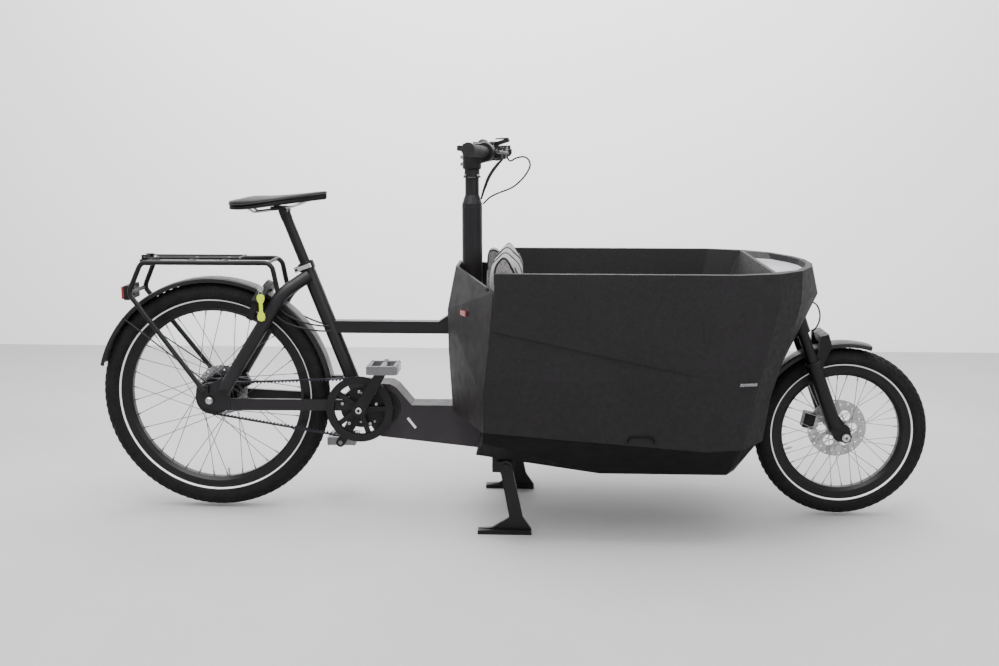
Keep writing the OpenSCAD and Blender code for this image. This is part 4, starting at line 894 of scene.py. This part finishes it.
def laid_on(o, points):
    """A smooth path through the points, laid on the surface of a pad."""
    path = [o.closest_point_on_mesh(q)[1] for q in curve_through(points, 0.008)]
    return [path[0]] + [(a + b + c) / 3 for a, b, c in zip(path, path[1:], path[2:])] + [path[-1]]


def bake(o):
    """Applies every modifier of an object to its mesh."""
    bpy.context.view_layer.update()
    depsgraph = bpy.context.evaluated_depsgraph_get()
    mesh = bpy.data.meshes.new_from_object(o.evaluated_get(depsgraph))
    o.modifiers.clear()
    o.data = mesh


def fill_as_cloth(context, o, start, p):
    """Blows a closed mesh up as cloth, and caps how far each point moves."""
    m = o.modifiers.new("fill", "CLOTH")
    c = m.settings
    c.quality, c.mass = 4, 0.25
    c.tension_stiffness = c.compression_stiffness = 28
    c.shear_stiffness, c.bending_stiffness = 12, 2.2
    c.use_pressure, c.uniform_pressure_force = True, p.pressure
    c.effector_weights.gravity = 0
    m.collision_settings.use_collision = False
    m.point_cache.frame_start, m.point_cache.frame_end = 1, p.steps
    scene = context.scene
    for step in range(1, p.steps + 1):
        scene.frame_set(step)
    bake(o)
    scene.frame_set(1)
    for v, home in zip(o.data.vertices, start):
        moved = v.co - home
        if moved.length > p.most_swell:
            v.co = home + moved * (p.most_swell / moved.length)


class BIKE_OT_harness(Operator):
    """Belts and buckles of the passenger seats"""

    bl_idname = "bike.harness"
    bl_label = "Harness"

    def execute(self, context):
        x = CORNER
        belts, buckles = Form(), Form()
        for middle_y in (-0.205, 0.064):
            for side in (-1, 1):
                y = middle_y + side * 0.045
                belts.strap(curve_through([
                    (x + 0.0545, y, 0.797), (x + 0.0665, y, 0.766), (x + 0.0705, y, 0.72),
                    (x + 0.0725, middle_y + side * 0.043, 0.66), (x + 0.077, middle_y + side * 0.02, 0.60)],
                    0.01),
                    (0, 1, 0), 0.025, 0.0016)
            belts.strap(curve_through([(x + 0.078, middle_y, 0.605), (x + 0.095, middle_y, 0.57),
                                       (x + 0.12, middle_y, 0.552), (x + 0.17, middle_y, 0.548)], 0.01),
                        (0, 1, 0), 0.025, 0.0016)
            buckles.block((x + 0.070, middle_y - 0.028, 0.588), (x + 0.088, middle_y + 0.028, 0.622))
            buckles.block((x + 0.086, middle_y - 0.009, 0.597), (x + 0.0905, middle_y + 0.009, 0.613))
        belts.make("harness_belts", "webbing", "frame", slot="pad_fabric")
        buckles.make("harness_buckles", "black_plastic", "frame", bevel=0.0025, slot="black_plastic")
        return {"FINISHED"}


class BIKE_OT_saddle(Operator):
    """Saddle cover, base and rails"""

    bl_idname = "bike.saddle"
    bl_label = "Saddle"

    def execute(self, context):
        half = (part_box("saddle")[1].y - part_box("saddle")[0].y) / 2
        outline = [(-0.152, 0.018), (-0.148, 0.046), (-0.138, 0.067), (-0.118, 0.083), (-0.09, half),
                   (-0.06, 0.081),
                   (-0.03, 0.067), (0.0, 0.052), (0.03, 0.0395), (0.06, 0.0305), (0.09, 0.0245),
                   (0.115, 0.0205),
                   (0.132, 0.0155), (0.1415, 0.009)]
        top = lambda t: (0.030 + 0.012 * math.exp(-((t + 0.15) / 0.04) ** 2) * -1
                         + 0.004 * math.cos((t + 0.1) * 9) + 0.024 * max(0, (t + 0.03) / 0.17) ** 1.2)
        base = lambda t: 0.006 + 0.030 * max(0, (t + 0.1) / 0.24)
        for name, look, lift, drop, grow in (
            ("saddle_cover", "saddle_skin", 0.0, 0.012, 0.0),
            ("saddle_base", "black_plastic", None, 0.0, -0.0035),
        ):
            form, n = Form(), 28
            rings = []
            for t, w in outline:
                w = w + grow
                crown = SADDLE.z + top(t) + 0.006
                low = SADDLE.z + base(t) + drop
                if lift is None:
                    crown, low = low + 0.014, low
                ring = []
                for k in range(n):
                    a = 2 * math.pi * k / n
                    c, s = math.cos(a), math.sin(a)
                    y = w * math.copysign(abs(c) ** 0.62, c)
                    if s >= 0:
                        dip = 0.0035 * math.exp(-(y / 0.012) ** 2) if lift is not None else 0
                        z = low + (crown - low) * abs(s) ** 0.55 - dip
                    else:
                        z = low - 0.006 * abs(s) ** 0.7
                    ring.append(Vector((SADDLE.x + t, y, z)))
                rings.append(ring)
            points = [p for ring in rings for p in ring]
            faces = [(j * n + k, j * n + (k + 1) % n, (j + 1) * n + (k + 1) % n, (j + 1) * n + k)
                     for j in range(len(rings) - 1) for k in range(n)]
            faces += [tuple(range(n))[::-1], tuple(range((len(rings) - 1) * n, len(rings) * n))]
            form.add(points, faces)
            o = form.make(name, look, "seat", subdivide=2, slot="saddle_skin")
            if lift is not None:
                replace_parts(o, "saddle")
        rails = Form()
        for s in (-1, 1):
            rails.tube(curve_through([
                SADDLE + Vector((-0.108, s * 0.034, 0.014)), SADDLE + Vector((-0.098, s * 0.031, 0.008)),
                SADDLE + Vector((-0.08, s * 0.0235, -0.006)), SADDLE + Vector((-0.066, s * 0.022, -0.0068)),
                SADDLE + Vector((0.02, s * 0.022, 0.005)), SADDLE + Vector((0.04, s * 0.0215, 0.0092)),
                SADDLE + Vector((0.075, s * 0.016, 0.022)), SADDLE + Vector((0.112, s * 0.010, 0.036))],
                0.005),
                0.0035, 14)
        rails.make("saddle_rails", "steel", "seat", slot="steel")
        seam = Form()
        for s in (-1, 1):
            seam.tube(curve_through([(SADDLE.x + t, s * (w - 0.0002), SADDLE.z + base(t) + 0.0125)
                                     for t, w in outline], 0.006), 0.0009, 8)
        seam.make("saddle_seam", "saddle_side", "seat", slot="saddle_skin")
        clamp = Form()
        for s in (-1, 1):
            clamp.block((SADDLE.x - 0.026, s * 0.022 - 0.009, SADDLE.z - 0.0015),
                        (SADDLE.x + 0.014, s * 0.022 + 0.009, SADDLE.z + 0.009))
        clamp.block((SADDLE.x - 0.02, -0.022, SADDLE.z + 0.0015),
                    (SADDLE.x + 0.008, 0.022, SADDLE.z + 0.0095))
        clamp.make("saddle_clamp", "black_coat", "seat", bevel=0.002, slot="black_metal")
        return {"FINISHED"}


class BIKE_OT_hoses(Operator):
    """Brake hoses and cables, smooth along their CAD routes"""

    bl_idname = "bike.hoses"
    bl_label = "Hoses"

    def execute(self, context):
        bar = Form()
        for path in (
            [(33.4, -2, 958), (56, -14, 979), (84, -26, 993), (118, -42, 1007), (142, -56, 1025),
             (163, -70, 1049),
             (175, -80, 1074), (170, -86, 1092), (156, -88, 1100), (134, -86, 1096), (116, -84, 1088),
             (104, -82, 1108)],
            [(27.4, -8, 972), (35, -14, 1000), (50, -24, 1040), (72, -42, 1072), (92, -62, 1092),
             (104, -84, 1112)],
            [(27.4, 8, 972), (37, 14, 1000), (54, 26, 1040), (76, 44, 1072), (94, 64, 1094), (104, 84, 1112)],
        ):
            bar.tube(curve_through([(COLUMN.x + a / 1000, b / 1000, c / 1000) for a, b, c in path], 0.004),
                     0.0025, 12)
        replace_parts(bar.make("bar_hoses_smooth", "hose_rubber", "bars", slot="rubber"), "bar_hoses")
        b = CRANK
        rear = Form()
        for path in (
            [(-246, -52, 650), (-214, -56, 622), (-168, -48, 600), (-124, -34, 588), (-94, -20, 585)],
            [(-258, -54, 630), (-226, -60, 604), (-176, -52, 584), (-124, -36, 572), (-88, -20, 570)],
            [(-250, 52, 644), (-218, 56, 618), (-172, 48, 596), (-124, 34, 582), (-91, 20, 578)],
        ):
            rear.tube(curve_through([(b.x + p / 1000, q / 1000, r / 1000) for p, q, r in path], 0.005),
                      0.0026, 12)
        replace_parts(rear.make("frame_hoses_smooth", "hose_rubber", "frame", slot="rubber"), "frame_hoses")
        return {"FINISHED"}


class BIKE_OT_controls(Operator):
    """Stem screws, steerer rings and display glass of the cockpit"""

    bl_idname = "bike.controls"
    bl_label = "Controls"

    def execute(self, context):
        screws, rings = Form(), Form()
        for z in (1.0755, 1.0965):
            for y in (-0.0085, 0.0085):
                screw_head(screws, (COLUMN.x - 0.0275, y, z), (0, math.copysign(1, y), 0), 0.0036, 0.004)
        for y in (-0.0215, 0.0215):
            for z in (-0.014, 0.014):
                screw_head(screws, (COLUMN.x + 0.0925, y * 0.75, 1.108 + z), (1, 0, 0), 0.0034, 0.0035)
        screw_head(screws, (COLUMN.x + 0.018, -0.0195, 1.044), (0.5, -0.86, 0), 0.0034, 0.0035)
        screw_head(screws, (COLUMN.x - 0.018, -0.0195, 1.044), (-0.5, -0.86, 0), 0.0034, 0.0035)
        screws.make("stem_screws", "steel", "bars", slot="steel")
        for z in (1.0368, 1.0622):
            rings.turned([(0.0262, -0.0012), (0.0272, 0), (0.0262, 0.0012)], (COLUMN.x, 0, z), (0, 0, 1), 64)
        rings.make("steerer_rings", "black_coat", "bars", slot="black_metal")
        glass = Form()
        low, high = Vector((-0.0504, -0.025, 1.1269)), Vector((0.0008, 0.025, 1.1537))
        glass.block((low.x + 0.008, low.y + 0.004, high.z - 0.0046),
                    (high.x - 0.006, high.y - 0.004, high.z - 0.0002),
                    Matrix.Rotation(math.radians(-3), 3, "Y"))
        glass.make("display_glass", "glass_black", "bars", bevel=0.0015, slot="black_plastic")
        return {"FINISHED"}


class BIKE_OT_front_end(Operator):
    """Fork caps, adjuster, dust seals, front brake hose and fittings"""

    bl_idname = "bike.front_end"
    bl_label = "Front end"

    def execute(self, context):
        caps, bands, seals, knobs = Form(), Form(), Form(), Form()
        for side in (-1, 1):
            foot = FORK_FOOT + FORWARD_OF_FORK * 0.025 + Vector((0, side * 0.065, 0))
            top = foot + ALONG_FORK * 0.397
            caps.turned([(0.0165, 0), (0.0175, 0.0015), (0.0175, 0.0045), (0.0165, 0.006), (0.012, 0.0075),
                         (0.0115, 0.011), (0.009, 0.0135), (0.004, 0.014)], top, ALONG_FORK, 48)
            bands.turned([(0.01765, -0.0185), (0.01795, -0.017), (0.01795, -0.011), (0.01765, -0.0095)],
                         top, ALONG_FORK, 48)
            knobs.turned([(0.0146, -0.0035), (0.0156, -0.002), (0.0156, 0.0025), (0.0142, 0.004)],
                         top - ALONG_FORK * 0.0055, ALONG_FORK, 20)
        caps.make("fork_caps", "alloy", "fork", slot="alloy")
        bands.make("fork_bands", "anodised_red", "fork", slot="black_metal")
        knobs.make("fork_knobs", "black_coat", "fork", slot="black_metal")
        for side in (-1, 1):
            foot = FORK_FOOT + FORWARD_OF_FORK * 0.025 + Vector((0, side * 0.065, 0))
            for at, r in ((SEAL_HIGH, 0.0232), (SEAL_HIGH - 0.006, 0.0226)):
                seals.turned([(r - 0.0016, -0.002), (r, -0.0012), (r, 0.0012), (r - 0.0016, 0.002)],
                             foot + ALONG_FORK * at, ALONG_FORK, 48)
        seals.make("fork_seals", "piping", "lowers", slot="rubber")

        hose = Form()
        hose.tube(curve_through([Vector(q) for q in HOSE], 0.003), 0.0025, 12)
        o = hose.make("front_hose_smooth", "hose_rubber", None, slot="rubber")
        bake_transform(o)
        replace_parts(o, "front_hose")

        for hub, y, side, body in ((FRONT, 0.0422, 1, "front_wheel"), (REAR, 0.0615, 1, "rear_wheel")):
            bolts = Form()
            for k in range(6):
                a = math.radians(20 + 60 * k)
                screw_head(bolts, (hub.x + 0.022 * math.cos(a), y - 0.003, hub.z + 0.022 * math.sin(a)),
                           (0, side, 0),
                           0.0042, 0.0032)
            bolts.make(body + "_disc_bolts", "steel", body, slot="steel")
        fit = Form()
        screw_head(fit, (FRONT.x, -0.0828, FRONT.z), (0, -1, 0), 0.0085, 0.004)
        screw_head(fit, (FRONT.x, 0.0828, FRONT.z), (0, 1, 0), 0.0085, 0.004)
        fit.make("front_axle_caps", "alloy", "lowers", slot="alloy")
        rear = Form()
        for side in (-1, 1):
            rear.turned([(0.011, 0), (0.011, 0.004), (0.009, 0.006), (0.009, 0.010), (0.006, 0.011)],
                        (REAR.x, side * 0.0885, REAR.z), (0, side, 0), 6)
        rear.make("rear_axle_nuts", "steel", "frame", slot="steel")
        return {"FINISHED"}


class BIKE_OT_drive(Operator):
    """Belt teeth, motor screws, pulley screws, crank caps and pedal pins"""

    bl_idname = "bike.drive"
    bl_label = "Drive"

    def execute(self, context):
        low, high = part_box("belt")
        y0, y1 = -0.0605, -0.0515
        small, large = 0.0485, 0.0945
        from_rear, to_front = Vector((REAR.x, 0, REAR.z)), Vector((CRANK.x, 0, CRANK.z))
        gap = (to_front - from_rear).length
        heading = math.atan2(to_front.z - from_rear.z, to_front.x - from_rear.x)
        slope = math.asin((large - small) / gap)
        teeth = Form()

        def tooth(at, inward):
            side = Vector((-inward.z, 0, inward.x))
            points = []
            for y in (y0, y1):
                for t, h in ((-0.0026, -0.0002), (0.0026, -0.0002), (0.0017, 0.0026), (-0.0017, 0.0026)):
                    points.append(at + side * t + inward * h + Vector((0, y, 0)))
            teeth.add(points,
                      [(0, 1, 2, 3), (7, 6, 5, 4), (0, 4, 5, 1), (1, 5, 6, 2), (2, 6, 7, 3), (3, 7, 4, 0)])

        for centre, r, a0, a1 in (
            (from_rear, small, heading + math.pi / 2 + slope, heading + 1.5 * math.pi - slope),
            (to_front, large, heading - math.pi / 2 - slope, heading + math.pi / 2 + slope),
        ):
            n = int(r * abs(a1 - a0) / 0.011)
            for k in range(n + 1):
                a = a0 + (a1 - a0) * k / max(n, 1)
                out = Vector((math.cos(a), 0, math.sin(a)))
                tooth(centre + out * (r - 0.0026), -out)
        for side in (-1, 1):
            a = heading + side * (math.pi / 2 + slope)
            out = Vector((math.cos(a), 0, math.sin(a)))
            one, two = from_rear + out * (small - 0.0026), to_front + out * (large - 0.0026)
            n = int((two - one).length / 0.011)
            for k in range(1, n):
                tooth(one.lerp(two, k / n), -out)
        teeth.make("belt_teeth", "belt_rubber", "frame", smooth=False, slot="rubber")

        screws, caps = Form(), Form()
        for x, z in ((-0.040, 0.036), (0.004, 0.052), (0.050, 0.052), (0.098, 0.043), (0.112, 0.0),
                     (0.098, -0.038),
                     (0.048, -0.048), (0.0, -0.05), (-0.044, -0.03)):
            screw_head(screws, (CRANK.x + x * 0.9, -0.0438, CRANK.z + z * 0.9), (0, -1, 0), 0.0035, 0.003)
        screws.make("motor_screws", "steel", "frame", slot="steel")
        for k in range(5):
            a = math.radians(18 + 72 * k)
            screw_head(caps, (CRANK.x + 0.055 * math.cos(a), -0.0645, CRANK.z + 0.055 * math.sin(a)),
                       (0, -1, 0),
                       0.0045, 0.0032)
        for side in (-1, 1):
            screw_head(caps, (CRANK.x, side * 0.0835, CRANK.z), (0, side, 0), 0.0095, 0.004)
        caps.make("crank_caps", "alloy", "crank", slot="alloy")

        for name, side in (("pedal_right", -1), ("pedal_left", 1)):
            low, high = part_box(name)
            c = (low + high) / 2
            pins, lens = Form(), Form()
            for x in (-0.0405, 0.0405):
                for k in range(4):
                    for up in (-1, 1):
                        y = c.y + (k - 1.5) * 0.022 - side * 0.006
                        pins.turned([(0.0019, 0), (0.0019, 0.0035), (0.0012, 0.0042)],
                                    (c.x + x, y, c.z + up * 0.0115),
                                    (0, 0, up), 12)
                lens.block((c.x + math.copysign(0.0462, x) - 0.0012, c.y - 0.024 - side * 0.006,
                            c.z - 0.0075),
                           (c.x + math.copysign(0.0462, x) + 0.0004, c.y + 0.024 - side * 0.006,
                            c.z + 0.0075))
            pins.make(name + "_pins", "steel", name, slot="steel")
            lens.make(name + "_lenses", "grey_lens", name, smooth=False, slot="reflector")
            dress(name, "pedal_alloy", 0.0008)
        return {"FINISHED"}


class BIKE_OT_lock_key(Operator):
    """Key of the ring lock and its bright ribbon"""

    bl_idname = "bike.lock_key"
    bl_label = "Lock key"

    def execute(self, context):
        key, tag = Form(), Form()
        at = Vector((-0.7415, -0.0965, 0.700))
        key.turned([(0.0095, -0.0012), (0.0105, 0), (0.0095, 0.0012)], at + Vector((0, 0, 0.010)), (0, 1, 0),
                   24)
        key.turned([(0.0016, 0), (0.0016, 0.02)], at + Vector((0, 0.018, 0.012)), (0, -1, 0), 12)
        key.tube([at + Vector((0.006 * math.cos(a), -0.001, -0.005 + 0.006 * math.sin(a)))
                  for a in [2 * math.pi * k / 20 for k in range(20)]], 0.0009, 8, closed=True)
        key.make("lock_key", "steel", "frame", slot="steel")
        outline = []
        shape = [(0.0, -0.006), (0.010, -0.010), (0.0125, -0.020), (0.0095, -0.029), (0.0055, -0.035),
                 (0.0055, -0.060), (0.0095, -0.066), (0.0125, -0.075), (0.010, -0.086), (0.0, -0.090)]
        outline = shape + [(-x, z) for x, z in reversed(shape[1:-1])]
        tag.prism([(at.x + x, at.z + z) for x, z in outline], at.y - 0.0028, at.y - 0.0004)
        tag.make("key_ribbon", "key_tag", "frame", bevel=0.0008, slot="pad_fabric")
        return {"FINISHED"}


class BIKE_OT_box_trim(Operator):
    """Rim snaps, lips round the carry handle, stand bolts and the plain strip on the beam"""

    bl_idname = "bike.box_trim"
    bl_label = "Box trim"

    def execute(self, context):
        snaps, bolts, strip, grip = Form(), Form(), Form(), Form()
        for x, z in ((-0.048, 0.747), (0.709, 0.638)):
            for side in (-1, 1):
                y = side * (HALF - 0.0004) if x < 0.5 else side * 0.3085
                normal = Vector((0, side, 0)) if x < 0.5 else Vector((0.25, side * 0.97, 0)).normalized()
                snaps.turned([(0.0052, -0.001), (0.0052, 0.0012), (0.0038, 0.0024), (0.0015, 0.0026)],
                             (x, y, z),
                             normal, 24)
        snaps.make("rim_snaps", "black_coat", "frame", slot="black_metal")
        for side in (-1, 1):
            screw_head(bolts, (STAND.x, side * 0.2068, STAND.z), (0, side, 0), 0.0085, 0.0045)
            bolts.turned([(0.0125, 0), (0.0125, 0.0012)], (STAND.x, side * 0.2062, STAND.z), (0, side, 0), 32)
        bolts.make("stand_bolts", "steel", "frame", slot="steel")
        strip.block((-0.3195, -0.0428, 0.2830), (-0.2795, -0.0420, 0.2905),
                    Matrix.Rotation(math.radians(52), 3, "Y"),
                    (-0.2995, -0.0424, 0.2868))
        strip.make("plain_strip", "blank_label", "frame", smooth=False, slot="reflector")
        for side in (-1, 1):
            y = side * (HALF - 0.0185)
            grip.tube(curve_through([(0.345, y, 0.312), (0.347, y, 0.3225), (0.358, y, 0.3285),
                                     (0.382, y, 0.3290),
                                     (0.406, y, 0.3285), (0.417, y, 0.3225), (0.419, y, 0.312)], 0.004),
                                     0.0026, 10)
        grip.make("handle_lips", "tray_plastic", "frame", slot="tray_plastic")
        return {"FINISHED"}


class BIKE_PT_panel(Panel):
    """Lists the steps that build the bicycle's looks"""

    bl_label = "Cargo Bicycle"
    bl_idname = "BIKE_PT_panel"
    bl_space_type = "VIEW_3D"
    bl_region_type = "UI"
    bl_category = "Cargo Bicycle"

    def draw(self, context):
        for group in ("bike_finish", "bike_wheels", "bike_pads", "bike_stage"):
            settings = getattr(context.scene, group)
            box = self.layout.box()
            for name in settings.__annotations__:
                box.prop(settings, name)
        for step in STEPS:
            self.layout.operator(step.bl_idname)


GROUPS = {
    "bike_finish": FinishSettings,
    "bike_wheels": WheelSettings,
    "bike_pads": PadSettings,
    "bike_stage": StageSettings,
}
STEPS = [
    BIKE_OT_stage, BIKE_OT_frame_finish, BIKE_OT_box_finish, BIKE_OT_tyre_trim, BIKE_OT_seat_pads,
    BIKE_OT_harness, BIKE_OT_saddle, BIKE_OT_hoses, BIKE_OT_controls, BIKE_OT_front_end,
    BIKE_OT_drive, BIKE_OT_lock_key, BIKE_OT_box_trim,
]


def register():
    for name, group in GROUPS.items():
        bpy.utils.register_class(group)
        setattr(bpy.types.Scene, name, PointerProperty(type=group))
    for step in STEPS:
        bpy.utils.register_class(step)
    bpy.utils.register_class(BIKE_PT_panel)


def unregister():
    bpy.utils.unregister_class(BIKE_PT_panel)
    for step in reversed(STEPS):
        bpy.utils.unregister_class(step)
    for name, group in GROUPS.items():
        delattr(bpy.types.Scene, name)
        bpy.utils.unregister_class(group)


def main():
    """Builds every piece in order."""
    register()
    for step in STEPS:
        prefix, name = step.bl_idname.split(".")
        if getattr(getattr(bpy.ops, prefix), name)() != {"FINISHED"}:
            raise RuntimeError(step.bl_label + " did not finish")


if __name__ == "__main__":
    main()
